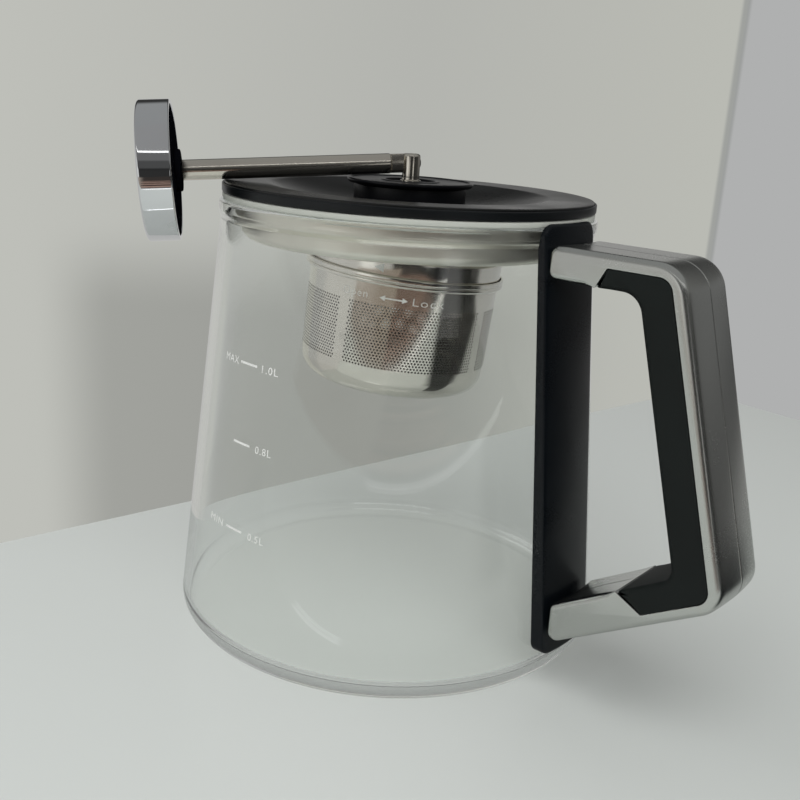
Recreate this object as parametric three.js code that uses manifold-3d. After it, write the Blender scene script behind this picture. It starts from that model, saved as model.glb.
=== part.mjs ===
// Glass tea jug with a lid, a folding lifting rod and a twist-lock strainer basket.
// Millimetres, +Z up. The origin is the centre of the jug's flat base, and the handle points along +X.
import * as THREE from "three";
import { mergeVertices } from "three/addons/utils/BufferGeometryUtils.js";
import Module from "manifold-3d";

const wasm = await Module();
wasm.setup();

// Fits and cuts
const seatGap = 0.3; // between pieces that are fastened to each other
const runningGap = 0.2; // between a turning piece and its bearing
const overrun = 2; // how far every cut runs past the face that it opens
const weldTolerance = 1e-4;

// Facets: counts of steps round a circle
const jugSteps = 48;
const lidSteps = 44;
const basketSteps = 40;
const knobSteps = 40;
const shaftSteps = 20;
const cornerSteps = 4;
const roundingSteps = 2;

// Glass jug
const jugHeight = 131.6;
const wallFootRadius = 68.5; // of the outer cone, carried down to the base plane
const wallTopRadius = 56.15; // of the outer cone, carried up to the rim
const glassThickness = 2.2;
const floorThickness = 4.1;
const baseCornerRadius = 6;
const floorCornerRadius = 4;
const lipOverhang = 1.15; // of the rim's lip past the wall
const lipRadius = wallTopRadius + lipOverhang;
const lipDepth = 3.1;
const lipRounding = 1;
const lipWidth = 3.1;
const mouthRadius = lipRadius - lipWidth;
const mouthDepth = 7;

// Bracket on the glass, with its pad
const bracketWidth = 24.8;
const bracketFootHeight = 10.8;
const bracketCornerRadius = 3.5;
const bracketTopThickness = 2.2;
const bracketFootThickness = 3.7;
const padThickness = 0.4;
const padMargin = 1.6;
const padGap = 0.1;

// Handle, seen from the side
const handleWidth = 23.8;
const handleEdgeRounding = 1.6;
const upperArmDrop = 3.6; // below the jug's rim
const upperArmTop = jugHeight - upperArmDrop;
const upperArmDepth = 9;
const upperArmLength = 40.35; // from the rim's wall to the outer corner
const gripTopReach = wallTopRadius + upperArmLength;
const gripHeight = 83.5; // between the two outer corners
const gripFootHeight = upperArmTop - gripHeight;
const gripLean = 23.1; // of the lower outer corner past the upper one
const gripFootReach = gripTopReach + gripLean;
const gripDepth = 13.4;
const lowerArmRise = 29.5; // from the bracket to the lower outer corner
const lowerArmDepth = 12.4;
const outerTopRadius = 9;
const outerFootRadius = 8;
const innerTopRadius = 6;
const innerFootRadius = 4.5;
const armRootRadius = 2.4;

// Soft grip and the seam between the handle's halves
const frameStrip = 3.8; // silver strip left outside the grip
const gripTopRun = 22.9; // from the upper outer corner back to the grip's end
const gripTopStart = gripTopReach - gripTopRun;
const gripTopSlant = 2.9;
const gripFootRun = 29.1; // from the lower outer corner back to the grip's end
const gripFootStart = gripFootReach - gripFootRun;
const gripFootSlant = 8;
const gripCornerRadius = 4;
const gripEndRadius = 0.9;
const gripEdgeRounding = 0.5;
const gripFit = 0.15;
const handleSeam = 0.12;

// Handle screws
const screwRadius = 1.6;
const screwHeadRadius = 3.2;
const screwHeadDepth = 1.1;
const screwLength = 9;
const upperScrewHeight = upperArmTop - upperArmDepth / 2;
const lowerScrewRise = 8.7; // above the root of the lower arm's underside

// Lid ring, cover, gasket and pan
const lidGap = 0.1; // between the lid's stacked pieces
const gasketSetback = 1; // from the jug's lip
const gasketRadius = lipRadius - gasketSetback;
const gasketWidth = 2.8;
const gasketInnerRadius = gasketRadius - gasketWidth;
const gasketThickness = 1.8;
const gasketLipDepth = 1.6;
const gasketLipThickness = 0.25;
const ringBottom = jugHeight + gasketThickness + 2 * lidGap;
const ringDepth = 2.5;
const ringTop = ringBottom + ringDepth;
const ringOverhang = 0.2; // past the gasket
const ringRadius = gasketRadius + ringOverhang;
const ringChamfer = 0.4;
const panWallGap = 1.3; // to the jug's mouth
const panWallRadius = mouthRadius - panWallGap;
const panThickness = 0.7;
const skirtRadius = panWallRadius - panThickness - runningGap; // the ring's skirt, inside the pan's wall
const skirtThickness = 1.6;
const skirtDepth = 4.6;
const coverSetback = 0.8; // from the ring's edge
const coverRadius = ringRadius - coverSetback;
const coverSink = 1; // of the cover's seat below the ring's top
const coverSeat = ringTop - coverSink + lidGap;
const coverEdgeDepth = 1.3;
const crestSetback = 1.1;
const crestRadius = coverRadius - crestSetback;
const crestRise = 1.5; // of the cover's crest above its seat
const crestHeight = coverSeat + crestRise;
const coverThickness = 1.8;
const dishRimWidth = 12; // of the nearly level band round the bowl
const dishRimFall = 0.25; // of that band towards the bowl
const bowlRadius = crestRadius - dishRimWidth;
const dishDepth = 5.7; // of the bowl's middle below the crest
const bowlDepth = dishDepth - dishRimFall;
const dishCurveShare = 1.9; // power of the bowl's curve
const panWallDepth = 5.7;
const panWallFoot = ringBottom - panWallDepth;
const panStepWidth = 2.7;
const panStepRadius = panWallRadius - panStepWidth;
const panStepDrop = 0.9;
const panDepth = 7.2; // of the flat bottom below the wall's foot
const panFloor = panWallFoot - panDepth;
const panCornerRadius = 2.6;
const panRecessRadius = 33;
const panRecessDepth = 3.4;

// Hub in the middle of the lid
const hubRadius = 17.1;
const hubRise = 1; // above the cover's crest
const hubTop = crestHeight + hubRise;
const hubSetback = 5.5; // of the hub's tail below its visible barrel
const hubTailRadius = hubRadius - hubSetback;
const hubWall = 4.3;
const hubCapOverhang = 2.1;
const hubCapRadius = hubRadius + hubCapOverhang;
const hubCapDepth = 1.5;
const hubCapRimHeight = 0.35;
const hubCapRimWidth = 1.2;
const hubCapHoleRadius = 7.6;
const hubCapTop = hubTop + lidGap + hubCapDepth;
const bushTopDrop = 0.7;
const nutDepth = 2.6;
const nutFlange = 3.4;
const nutRadius = hubTailRadius + nutFlange;

// Stem through the hub
const postRadius = 2.7;
const postShoulder = 0.4;
const stemRadius = postRadius + postShoulder;
const postFoot = hubCapTop;
const pinRise = 5; // above the hub's cap
const pinHeight = hubCapTop + pinRise;
const postTopRise = 2.7;
const postRounding = 0.9;
const tongueThickness = 1.8;
const slotWidth = tongueThickness + 2 * runningGap;
const slotDepth = 4.3;
const pinRadius = 0.8;
const pinHeadInset = 0.1;
const footOverhang = 1.7;
const footRadius = stemRadius + footOverhang;

// Rod and knob, measured along the rod from the hinge pin
const rodAzimuth = THREE.MathUtils.degToRad(-130.3);
const rodRadius = 3;
const rodStart = 6.2;
const rodOverhang = 13.6; // past the lid's crest
const rodEnd = crestRadius + rodOverhang;
const rodRest = 0.05; // air under the rod where it lies on the lid's crest
const rodChamfer = 0.5;
const tongueHalfHeight = 2.8;
const tongueRoundingShare = 0.95; // of the tongue's half height
const bossRadius = 6.1;
const bossDepth = 1.8;
const knobRadius = 20.2;
const knobDepth = 9.4;
const knobWall = 1.3;
const knobFace = 1.4;
const knobBevel = 0.9;
const insertDepth = 2.4;
const knobScrewRadius = 1.5;
const knobScrewHeadRadius = 3;
const knobScrewHeadDepth = 1.6;
const knobScrewLength = 9;

// Infuser head and basket, heights counted from the pivot in the head
const pivotDrop = 8.7; // below the pan
const pivotHeight = panFloor - pivotDrop;
const leanAzimuth = THREE.MathUtils.degToRad(130); // axis that the basket leans about
const leanAngle = THREE.MathUtils.degToRad(4.8);
const collarRadius = 29.6;
const collarThickness = 0.7;
const collarTop = 7.3;
const collarFoot = 0.9;
const collarHoleGap = 0.9; // round the stem, for the lean
const collarHoleRadius = stemRadius + collarHoleGap;
const collarRounding = 1;
const coreGap = 1.3; // inside the collar
const coreRadius = collarRadius - collarThickness - coreGap;
const coreWall = 2.6;
const corePlate = 2;
const coreFoot = -6.5;
const socketWall = 2.9;
const socketRadius = footRadius + seatGap + socketWall;
const socketFoot = -5.4;
const retainerDepth = 1.4;
const retainerHoleRadius = 2;
const sealWidth = 1.6;
const sealDepth = 0.9;
const sealGap = 0.1;
const rimTop = 2;
const rimFoot = -0.9;
const rimGap = 0.4; // round the collar
const rimWall = 0.75;
const rimRadius = collarRadius + rimGap + rimWall;
const rimLedgeDepth = 0.6;
const rimRounding = 0.35;
const shellGap = 1.1; // round the core
const shellThickness = 0.6;
const shellTopRadius = coreRadius + shellGap + shellThickness;
const shellTaper = 0.4;
const shellFootRadius = shellTopRadius - shellTaper;
const shellDepth = 33.7;
const shellCornerRadius = 6.5;
const shellTopGap = 0.1;

// Bayonet between the head and the basket
const lugCount = 3;
const lugHeight = 1.4;
const lugWidthAngle = THREE.MathUtils.degToRad(6);
const lugReach = 2.1; // how far a lug stands in from the basket's wall
const lugLevel = -2.9;
const bayonetTurn = THREE.MathUtils.degToRad(24);
const bayonetPitch = 0.25; // drop for each degree of twist
const channelGap = 0.4;
const channelSteps = 8;
const lugSteps = 2;

// Finishes
const finishes = {
  glass: new THREE.MeshStandardMaterial({ color: 0xdfe8e2, roughness: 0.05, metalness: 0, transparent: true, opacity: 0.3 }),
  silver: new THREE.MeshStandardMaterial({ color: 0xb4b6b2, roughness: 0.35, metalness: 0.8 }),
  softBlack: new THREE.MeshStandardMaterial({ color: 0x1a1d1c, roughness: 0.75, metalness: 0 }),
  satinBlack: new THREE.MeshStandardMaterial({ color: 0x15181c, roughness: 0.35, metalness: 0 }),
  lidBlack: new THREE.MeshStandardMaterial({ color: 0x1b1d1f, roughness: 0.45, metalness: 0 }),
  silicone: new THREE.MeshStandardMaterial({ color: 0xd5dad4, roughness: 0.5, metalness: 0, transparent: true, opacity: 0.8 }),
  darkSilicone: new THREE.MeshStandardMaterial({ color: 0x222426, roughness: 0.7, metalness: 0 }),
  polishedSteel: new THREE.MeshStandardMaterial({ color: 0xa9a69f, roughness: 0.15, metalness: 1 }),
  brushedSteel: new THREE.MeshStandardMaterial({ color: 0xaeb0aa, roughness: 0.32, metalness: 1 }),
  chrome: new THREE.MeshStandardMaterial({ color: 0xd0d3d5, roughness: 0.06, metalness: 1 }),
  zincSteel: new THREE.MeshStandardMaterial({ color: 0x8f9296, roughness: 0.4, metalness: 1 }),
};

// A closed solid from a geometry: shared vertices are merged, and faces that collapsed on an axis are dropped.
function solidOf(geometry) {
  const bare = geometry.index ? geometry.toNonIndexed() : geometry.clone();
  bare.deleteAttribute("normal");
  bare.deleteAttribute("uv");
  const merged = mergeVertices(bare, weldTolerance);
  const source = merged.index.array;
  const place = merged.getAttribute("position");
  const corner = [new THREE.Vector3(), new THREE.Vector3(), new THREE.Vector3()];
  const kept = [];
  let signedVolume = 0;
  for (let i = 0; i < source.length; i += 3) {
    const [a, b, c] = [source[i], source[i + 1], source[i + 2]];
    if (a === b || b === c || a === c) continue;
    kept.push(a, b, c);
    [a, b, c].forEach((vertex, n) => corner[n].fromBufferAttribute(place, vertex));
    signedVolume += corner[0].dot(corner[1].clone().cross(corner[2]));
  }
  if (signedVolume < 0) {
    kept.reverse();
  }
  return new wasm.Manifold(
    new wasm.Mesh({ numProp: 3, vertProperties: place.array, triVerts: new Uint32Array(kept) }),
  );
}

// A named mesh with the triangles of a solid.
function meshOf(name, solid, finish) {
  const cut = solid.getMesh();
  const geometry = new THREE.BufferGeometry();
  geometry.setAttribute("position", new THREE.BufferAttribute(new Float32Array(cut.vertProperties), 3));
  geometry.setIndex(new THREE.BufferAttribute(new Uint32Array(cut.triVerts), 1));
  geometry.computeVertexNormals();
  const mesh = new THREE.Mesh(geometry, finish.clone());
  mesh.name = name;
  return mesh;
}

// A solid of revolution about +Z. The profile holds [radius, height] pairs and is closed onto itself.
function revolve(profile, steps) {
  const points = profile.map(([radius, height]) => new THREE.Vector2(radius, height));
  points.push(points[0].clone());
  return solidOf(new THREE.LatheGeometry(points, steps).rotateX(Math.PI / 2));
}

// A plain ring or, with no inner radius, a disc.
function ring(innerRadius, outerRadius, bottom, top, steps) {
  return revolve(
    [[innerRadius, bottom], [outerRadius, bottom], [outerRadius, top], [innerRadius, top]],
    steps,
  );
}

// Points of an arc in a profile or outline.
function arc(x, y, radius, fromAngle, toAngle, steps = cornerSteps) {
  return Array.from({ length: steps + 1 }, (_, n) => {
    const angle = fromAngle + ((toAngle - fromAngle) * n) / steps;
    return [x + radius * Math.cos(angle), y + radius * Math.sin(angle)];
  });
}

// An outline from [x, z, rounding] corners, with each corner rounded by an arc.
function roundedOutline(corners) {
  const outline = [];
  corners.forEach(([x, z, rounding], i) => {
    const here = new THREE.Vector2(x, z);
    const [bx, bz] = corners[(i + corners.length - 1) % corners.length];
    const [ax, az] = corners[(i + 1) % corners.length];
    const before = new THREE.Vector2(bx, bz).sub(here).normalize();
    const after = new THREE.Vector2(ax, az).sub(here).normalize();
    if (!rounding) {
      outline.push(here);
      return;
    }
    const half = Math.acos(THREE.MathUtils.clamp(before.dot(after), -1, 1)) / 2;
    const centre = before.clone().add(after).normalize().multiplyScalar(rounding / Math.sin(half)).add(here);
    const start = before.multiplyScalar(rounding / Math.tan(half)).add(here).sub(centre);
    const end = after.multiplyScalar(rounding / Math.tan(half)).add(here).sub(centre);
    const turn = Math.atan2(start.cross(end), start.dot(end));
    for (let n = 0; n <= cornerSteps; n += 1) {
      outline.push(start.clone().rotateAround(new THREE.Vector2(), (turn * n) / cornerSteps).add(centre));
    }
  });
  return outline;
}

// The same corners moved outwards by a distance, for an outline that runs counter-clockwise.
function grown(corners, distance) {
  return corners.map(([x, z, rounding], i) => {
    const here = new THREE.Vector2(x, z);
    const [bx, bz] = corners[(i + corners.length - 1) % corners.length];
    const [ax, az] = corners[(i + 1) % corners.length];
    const inward = here.clone().sub(new THREE.Vector2(bx, bz)).normalize();
    const onward = new THREE.Vector2(ax, az).sub(here).normalize();
    const normal = new THREE.Vector2(inward.y + onward.y, -inward.x - onward.x).normalize();
    const reach = distance / normal.dot(new THREE.Vector2(onward.y, -onward.x));
    const hollow = inward.cross(onward) < 0;
    return [x + normal.x * reach, z + normal.y * reach, Math.max(0, rounding + (hollow ? -distance : distance))];
  });
}

// An outline in the XZ plane made a slab between two places on Y, with rounded rims where asked.
function slab(outline, fromY, toY, rounding = 0) {
  const geometry = new THREE.ExtrudeGeometry(new THREE.Shape(outline), {
    depth: toY - fromY - 2 * rounding,
    steps: 1,
    bevelEnabled: rounding > 0,
    bevelThickness: rounding,
    bevelSize: rounding,
    bevelOffset: -rounding,
    bevelSegments: roundingSteps,
  });
  return solidOf(geometry.rotateX(Math.PI / 2).translate(0, toY - rounding, 0));
}

// A round bar along +X, from one place to another, at a height.
function barAlongX(radius, fromX, toX, height, steps = shaftSteps) {
  const geometry = new THREE.CylinderGeometry(radius, radius, toX - fromX, steps);
  return solidOf(geometry.rotateZ(Math.PI / 2).translate((fromX + toX) / 2, 0, height));
}

// A block given by its middle and its sizes.
function block(x, y, z, sizeX, sizeY, sizeZ) {
  return solidOf(new THREE.BoxGeometry(sizeX, sizeY, sizeZ).translate(x, y, z));
}

// Outer radius of the glass wall at a height.
function wallRadius(height) {
  return wallFootRadius + ((wallTopRadius - wallFootRadius) * height) / jugHeight;
}

// Radius of the bracket's inner face at a height, clear of the wall by the pad.
function bracketInnerRadius(height) {
  return wallRadius(height) + padThickness + 2 * padGap;
}

// Radius of the bracket's outer face at a height.
function bracketRadius(height) {
  const taper = (bracketFootThickness - bracketTopThickness) / jugHeight;
  return bracketInnerRadius(height) + bracketFootThickness - taper * height;
}

// Reach of an arm's square end, which meets the bracket's face near the bracket's edge.
function armRoot(height) {
  const face = bracketRadius(height) + seatGap;
  const halfWidth = handleWidth / 2 - handleEdgeRounding;
  return Math.sqrt(face ** 2 - halfWidth ** 2);
}

const lowerArmRootHeight = gripFootHeight - lowerArmRise;
const lowerArmRootReach = armRoot(lowerArmRootHeight);
const lowerScrewHeight = lowerArmRootHeight + lowerScrewRise;
const screwHeights = [upperScrewHeight, lowerScrewHeight];
const bracketTop = ringBottom - 2 * seatGap;

// Reach of the handle's back line at a height.
function backReach(height) {
  return gripTopReach + (gripLean * (upperArmTop - height)) / gripHeight;
}

// Height of the lower arm's underside at a reach.
function lowerArmUnderside(reach) {
  return lowerArmRootHeight + ((reach - lowerArmRootReach) * lowerArmRise) / (gripFootReach - lowerArmRootReach);
}

// The corner of the handle's inner outline above the outer foot corner.
function innerFoot() {
  const backLean = gripLean / gripHeight;
  const armSlope = lowerArmRise / (gripFootReach - lowerArmRootReach);
  const climb = (lowerArmDepth - armSlope * gripDepth) / (1 + armSlope * backLean);
  return [gripFootReach - gripDepth - backLean * climb, gripFootHeight + climb];
}

function glassJug() {
  const footCentre = wallRadius(baseCornerRadius) - baseCornerRadius;
  const innerFoot = floorThickness + floorCornerRadius;
  const innerCentre = wallRadius(innerFoot) - glassThickness - floorCornerRadius;
  const lipFoot = jugHeight - lipDepth;
  const lipCentre = lipRadius - lipRounding;
  const mouthFoot = jugHeight - mouthDepth;
  const mouthCentre = mouthRadius + lipRounding;
  return revolve(
    [
      [0, 0],
      ...arc(footCentre, baseCornerRadius, baseCornerRadius, -Math.PI / 2, 0),
      [wallRadius(lipFoot - lipRounding), lipFoot - lipRounding],
      [lipRadius, lipFoot],
      ...arc(lipCentre, jugHeight - lipRounding, lipRounding, 0, Math.PI / 2, roundingSteps),
      ...arc(mouthCentre, jugHeight - lipRounding, lipRounding, Math.PI / 2, Math.PI, roundingSteps),
      [wallRadius(mouthFoot) - glassThickness, mouthFoot],
      ...arc(innerCentre, innerFoot, floorCornerRadius, 0, -Math.PI / 2),
      [0, floorThickness],
    ],
    jugSteps,
  );
}

// A strip of the wall's own cone, between two offsets from the glass, cut to a rounded rectangle.
function wallStrip(innerAt, outerAt, width, bottom, top, cornerRadius) {
  const shell = revolve(
    [
      [innerAt(bottom - overrun), bottom - overrun],
      [outerAt(bottom - overrun), bottom - overrun],
      [outerAt(top + overrun), top + overrun],
      [innerAt(top + overrun), top + overrun],
    ],
    jugSteps * 2,
  );
  const outline = roundedOutline([
    [-width / 2, bottom, cornerRadius],
    [width / 2, bottom, cornerRadius],
    [width / 2, top, cornerRadius],
    [-width / 2, top, cornerRadius],
  ]);
  const depth = outerAt(bottom) + overrun;
  const window = new THREE.ExtrudeGeometry(new THREE.Shape(outline), { depth, steps: 1, bevelEnabled: false });
  return shell.intersect(solidOf(window.rotateX(Math.PI / 2).rotateZ(Math.PI / 2)));
}

function spineBracket() {
  const strip = wallStrip(
    bracketInnerRadius,
    bracketRadius,
    bracketWidth,
    bracketFootHeight,
    bracketTop,
    bracketCornerRadius,
  );
  const lipFoot = jugHeight - lipDepth - lipRounding - seatGap;
  const lipRoom = ring(0, lipRadius + seatGap, lipFoot, bracketTop + overrun, jugSteps * 2);
  return screwHeights.reduce((body, height) => {
    const face = bracketInnerRadius(height);
    const pocket = barAlongX(screwHeadRadius + seatGap, face - overrun, face + screwHeadDepth + seatGap, height);
    const hole = barAlongX(screwRadius + seatGap, face - overrun, bracketRadius(height) + overrun, height);
    return body.subtract(pocket).subtract(hole);
  }, strip.subtract(lipRoom));
}

function glassPad() {
  const lipFoot = jugHeight - lipDepth - lipRounding;
  return wallStrip(
    (height) => wallRadius(height) + padGap,
    (height) => wallRadius(height) + padGap + padThickness,
    bracketWidth - 2 * padMargin,
    bracketFootHeight + padMargin,
    lipFoot - padMargin,
    bracketCornerRadius,
  );
}

function handleScrew(height) {
  const face = bracketInnerRadius(height) + seatGap / 2;
  return barAlongX(screwHeadRadius, face, face + screwHeadDepth, height).add(
    barAlongX(screwRadius, face + screwHeadDepth / 2, face + screwLength, height),
  );
}

// Corners of the whole handle's side view, counter-clockwise from the lower arm's root.
function handleCorners() {
  const innerTop = upperArmTop - upperArmDepth;
  const upperRoot = armRoot(upperArmTop - armRootRadius);
  return [
    [lowerArmRootReach, lowerArmRootHeight, armRootRadius],
    [gripFootReach, gripFootHeight, outerFootRadius],
    [gripTopReach, upperArmTop, outerTopRadius],
    [upperRoot, upperArmTop, armRootRadius],
    [upperRoot, innerTop, armRootRadius],
    [backReach(innerTop) - gripDepth, innerTop, innerTopRadius],
    [...innerFoot(), innerFootRadius],
    [lowerArmRootReach, lowerArmRootHeight + lowerArmDepth, armRootRadius],
  ];
}

// Corners of the soft grip's side view, which shares the handle's inner edge.
function gripCorners() {
  const innerTop = upperArmTop - upperArmDepth;
  const footEnd = gripFootStart + gripFootSlant;
  const outerTopHeight = upperArmTop - frameStrip;
  const outerFoot = backReach(gripFootHeight) - frameStrip;
  return [
    [gripFootStart, lowerArmUnderside(gripFootStart) + lowerArmDepth, gripEndRadius],
    [footEnd, lowerArmUnderside(footEnd) + frameStrip, gripEndRadius],
    [outerFoot, lowerArmUnderside(outerFoot) + frameStrip, gripCornerRadius],
    [backReach(outerTopHeight) - frameStrip, outerTopHeight, gripCornerRadius],
    [gripTopStart + gripTopSlant, outerTopHeight, gripEndRadius],
    [gripTopStart, innerTop, gripEndRadius],
    [backReach(innerTop) - gripDepth, innerTop, innerTopRadius],
    [...innerFoot(), innerFootRadius],
  ];
}

function handleEnvelope() {
  return slab(roundedOutline(handleCorners()), -handleWidth / 2, handleWidth / 2, handleEdgeRounding);
}

// One half of the handle's hard frame: side -1 is the half towards -Y.
function handleHalf(side) {
  const clearance = revolve(
    [
      [0, -overrun],
      [bracketRadius(-overrun) + seatGap, -overrun],
      [bracketRadius(jugHeight) + seatGap, jugHeight],
      [0, jugHeight],
    ],
    jugSteps * 2,
  );
  const gripRoom = slab(roundedOutline(grown(gripCorners(), gripFit)), -handleWidth, handleWidth);
  const frame = screwHeights.reduce((body, height) => {
    const face = bracketInnerRadius(height);
    return body.subtract(barAlongX(screwRadius + seatGap, face, face + screwLength + overrun, height));
  }, handleEnvelope().subtract(clearance).subtract(gripRoom));
  const reach = gripFootReach + overrun;
  const near = (side * handleSeam) / 2;
  const far = side * handleWidth;
  const half = block(reach / 2, (near + far) / 2, jugHeight / 2, reach, Math.abs(far - near), jugHeight);
  return frame.intersect(half);
}

function gripInlay() {
  return slab(roundedOutline(gripCorners()), -handleWidth / 2, handleWidth / 2, gripEdgeRounding);
}

// Height of the lid's dished top at a radius.
function dishHeight(radius) {
  if (radius > bowlRadius) {
    return crestHeight - (dishRimFall * (crestRadius - radius)) / dishRimWidth;
  }
  const share = (radius - hubTailRadius) / (bowlRadius - hubTailRadius);
  return crestHeight - dishRimFall - bowlDepth * (1 - Math.max(0, share) ** dishCurveShare);
}

const hubSeat = crestHeight - dishDepth + seatGap;

function lidCover() {
  const inner = hubTailRadius + seatGap;
  const bowl = Array.from({ length: cornerSteps + 1 }, (_, n) => {
    return bowlRadius - ((bowlRadius - inner) * n) / cornerSteps;
  });
  const stops = [crestRadius, ...bowl];
  const shoulder = skirtRadius - skirtThickness - seatGap;
  return revolve(
    [
      [coverRadius, coverSeat],
      [coverRadius, coverSeat + coverEdgeDepth],
      ...stops.map((radius) => [radius, dishHeight(radius)]),
      ...stops
        .filter((radius) => radius < shoulder)
        .reverse()
        .map((radius) => [radius, dishHeight(radius) - coverThickness]),
      [shoulder, dishHeight(shoulder) - coverThickness],
      [shoulder, coverSeat],
    ],
    lidSteps,
  );
}

function lidRing() {
  const skirtInner = skirtRadius - skirtThickness;
  const rebateRadius = coverRadius + lidGap;
  const rebateFloor = ringTop - coverSink;
  return revolve(
    [
      [skirtInner, ringBottom - skirtDepth],
      [skirtRadius, ringBottom - skirtDepth],
      [skirtRadius, ringBottom],
      [ringRadius, ringBottom],
      [ringRadius, ringTop - ringChamfer],
      [ringRadius - ringChamfer, ringTop],
      [rebateRadius, ringTop],
      [rebateRadius, rebateFloor],
      [skirtInner, rebateFloor],
    ],
    lidSteps,
  );
}

function lidGasket() {
  const bottom = jugHeight + lidGap;
  const top = ringBottom - lidGap;
  const lipOuter = gasketInnerRadius + gasketLipThickness;
  return revolve(
    [
      [gasketInnerRadius, bottom - gasketLipDepth],
      [lipOuter, bottom - gasketLipDepth],
      [lipOuter, bottom],
      [gasketRadius, bottom],
      [gasketRadius, top],
      [gasketInnerRadius, top],
    ],
    lidSteps,
  );
}

function lidPan() {
  const corner = panStepRadius - panCornerRadius;
  const inner = panStepRadius - panThickness;
  const recessTop = panFloor + panRecessDepth;
  const holeRadius = hubTailRadius + seatGap;
  const wallInner = panWallRadius - panThickness;
  const stepFoot = panWallFoot - panStepDrop;
  return revolve(
    [
      [holeRadius, recessTop],
      [panRecessRadius, recessTop],
      [panRecessRadius, panFloor],
      ...arc(corner, panFloor + panCornerRadius, panCornerRadius, -Math.PI / 2, 0),
      [panStepRadius, stepFoot],
      [panWallRadius, panWallFoot],
      [panWallRadius, ringBottom - seatGap],
      [wallInner, ringBottom - seatGap],
      [wallInner, panWallFoot + panThickness],
      [inner, stepFoot + panThickness],
      ...arc(corner, panFloor + panCornerRadius, panCornerRadius - panThickness, 0, -Math.PI / 2),
      [panRecessRadius + panThickness, panFloor + panThickness],
      [panRecessRadius + panThickness, recessTop + panThickness],
      [holeRadius, recessTop + panThickness],
    ],
    lidSteps,
  );
}

const nutTop = panFloor + panRecessDepth - seatGap / 2;
const nutBottom = nutTop - nutDepth;

function hubHousing() {
  const bore = hubTailRadius - hubWall;
  return revolve(
    [
      [bore, nutBottom],
      [hubTailRadius, nutBottom],
      [hubTailRadius, hubSeat],
      [hubRadius, dishHeight(hubRadius) + seatGap],
      [hubRadius, hubTop],
      [bore, hubTop],
    ],
    knobSteps,
  );
}

function hubCap() {
  const bottom = hubTop + lidGap;
  const top = hubCapTop;
  return revolve(
    [
      [hubCapHoleRadius, bottom],
      [hubCapRadius - hubCapRimWidth / 2, bottom],
      [hubCapRadius, bottom + hubCapRimWidth / 2],
      [hubCapRadius, top],
      [hubCapRadius - hubCapRimWidth / 2, top],
      [hubCapRadius - hubCapRimWidth, top - hubCapRimHeight],
      [hubCapHoleRadius, top - hubCapRimHeight],
    ],
    knobSteps,
  );
}

function hubBush() {
  const outer = hubTailRadius - hubWall - seatGap / 3;
  const top = hubCapTop - bushTopDrop;
  return ring(stemRadius + runningGap, outer, nutBottom, top, knobSteps);
}

function hubNut() {
  const hexagon = new THREE.CylinderGeometry(nutRadius, nutRadius, nutDepth, 6);
  const body = solidOf(hexagon.rotateX(Math.PI / 2).translate(0, 0, nutBottom + nutDepth / 2));
  const hole = ring(0, hubTailRadius + seatGap / 2, nutBottom - overrun, nutTop + overrun, knobSteps);
  return body.subtract(hole);
}

function stem() {
  const top = pinHeight + postTopRise;
  const body = revolve(
    [
      [0, pivotHeight + footRadius / 2],
      [stemRadius, pivotHeight + footRadius / 2],
      [stemRadius, postFoot - runningGap],
      [postRadius, postFoot],
      ...arc(postRadius - postRounding, top - postRounding, postRounding, 0, Math.PI / 2, roundingSteps),
      [0, top],
    ],
    shaftSteps,
  );
  const slotFoot = pinHeight - slotDepth;
  const slotHeight = top + overrun - slotFoot;
  const slot = block(0, 0, slotFoot + slotHeight / 2, 2 * (postRadius + overrun), slotWidth, slotHeight);
  return body.subtract(slot).subtract(hingeBar(pinRadius + runningGap / 2, postRadius + overrun));
}

// A bar across the slot, at the hinge.
function hingeBar(radius, halfLength) {
  const geometry = new THREE.CylinderGeometry(radius, radius, 2 * halfLength, shaftSteps / 2);
  return solidOf(geometry.translate(0, 0, 0)).translate([0, 0, pinHeight]);
}

function hingePin() {
  return hingeBar(pinRadius, postRadius - pinHeadInset);
}

function stemFoot() {
  const ball = new THREE.SphereGeometry(footRadius, shaftSteps, shaftSteps / 2).rotateX(Math.PI / 2);
  const room = ring(0, stemRadius + seatGap, footRadius / 2 - seatGap, footRadius + overrun, shaftSteps);
  return solidOf(ball).subtract(room).translate([0, 0, pivotHeight]);
}

function rod() {
  const bar = solidOf(
    new THREE.LatheGeometry(
      [
        [0, rodStart],
        [rodRadius - rodChamfer, rodStart],
        [rodRadius, rodStart + rodChamfer],
        [rodRadius, rodEnd],
        [0, rodEnd],
      ].map(([radius, place]) => new THREE.Vector2(radius, place)),
      shaftSteps,
    ).rotateZ(-Math.PI / 2),
  );
  const tongue = slab(
    roundedOutline([
      [-tongueHalfHeight, -tongueHalfHeight, tongueHalfHeight * tongueRoundingShare],
      [rodStart + overrun, -tongueHalfHeight, 0],
      [rodStart + overrun, tongueHalfHeight, 0],
      [-tongueHalfHeight, tongueHalfHeight, tongueHalfHeight * tongueRoundingShare],
    ]),
    -tongueThickness / 2,
    tongueThickness / 2,
  );
  const eye = new THREE.CylinderGeometry(
    pinRadius + runningGap,
    pinRadius + runningGap,
    tongueThickness + overrun,
    shaftSteps / 2,
  );
  return bar.add(tongue).subtract(solidOf(eye));
}

const insertStart = rodEnd + bossDepth;

// A disc or ring on the rod's own axis, given by its places along the rod.
function onRod(profile, steps = knobSteps) {
  const points = profile.map(([radius, place]) => new THREE.Vector2(radius, place));
  points.push(points[0].clone());
  return solidOf(new THREE.LatheGeometry(points, steps).rotateZ(-Math.PI / 2));
}

function knobBoss() {
  const from = rodEnd + seatGap / 3;
  const to = insertStart - seatGap / 3;
  const hole = knobScrewRadius + seatGap;
  return onRod([[hole, from], [bossRadius, from], [bossRadius, to], [hole, to]]);
}

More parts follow.
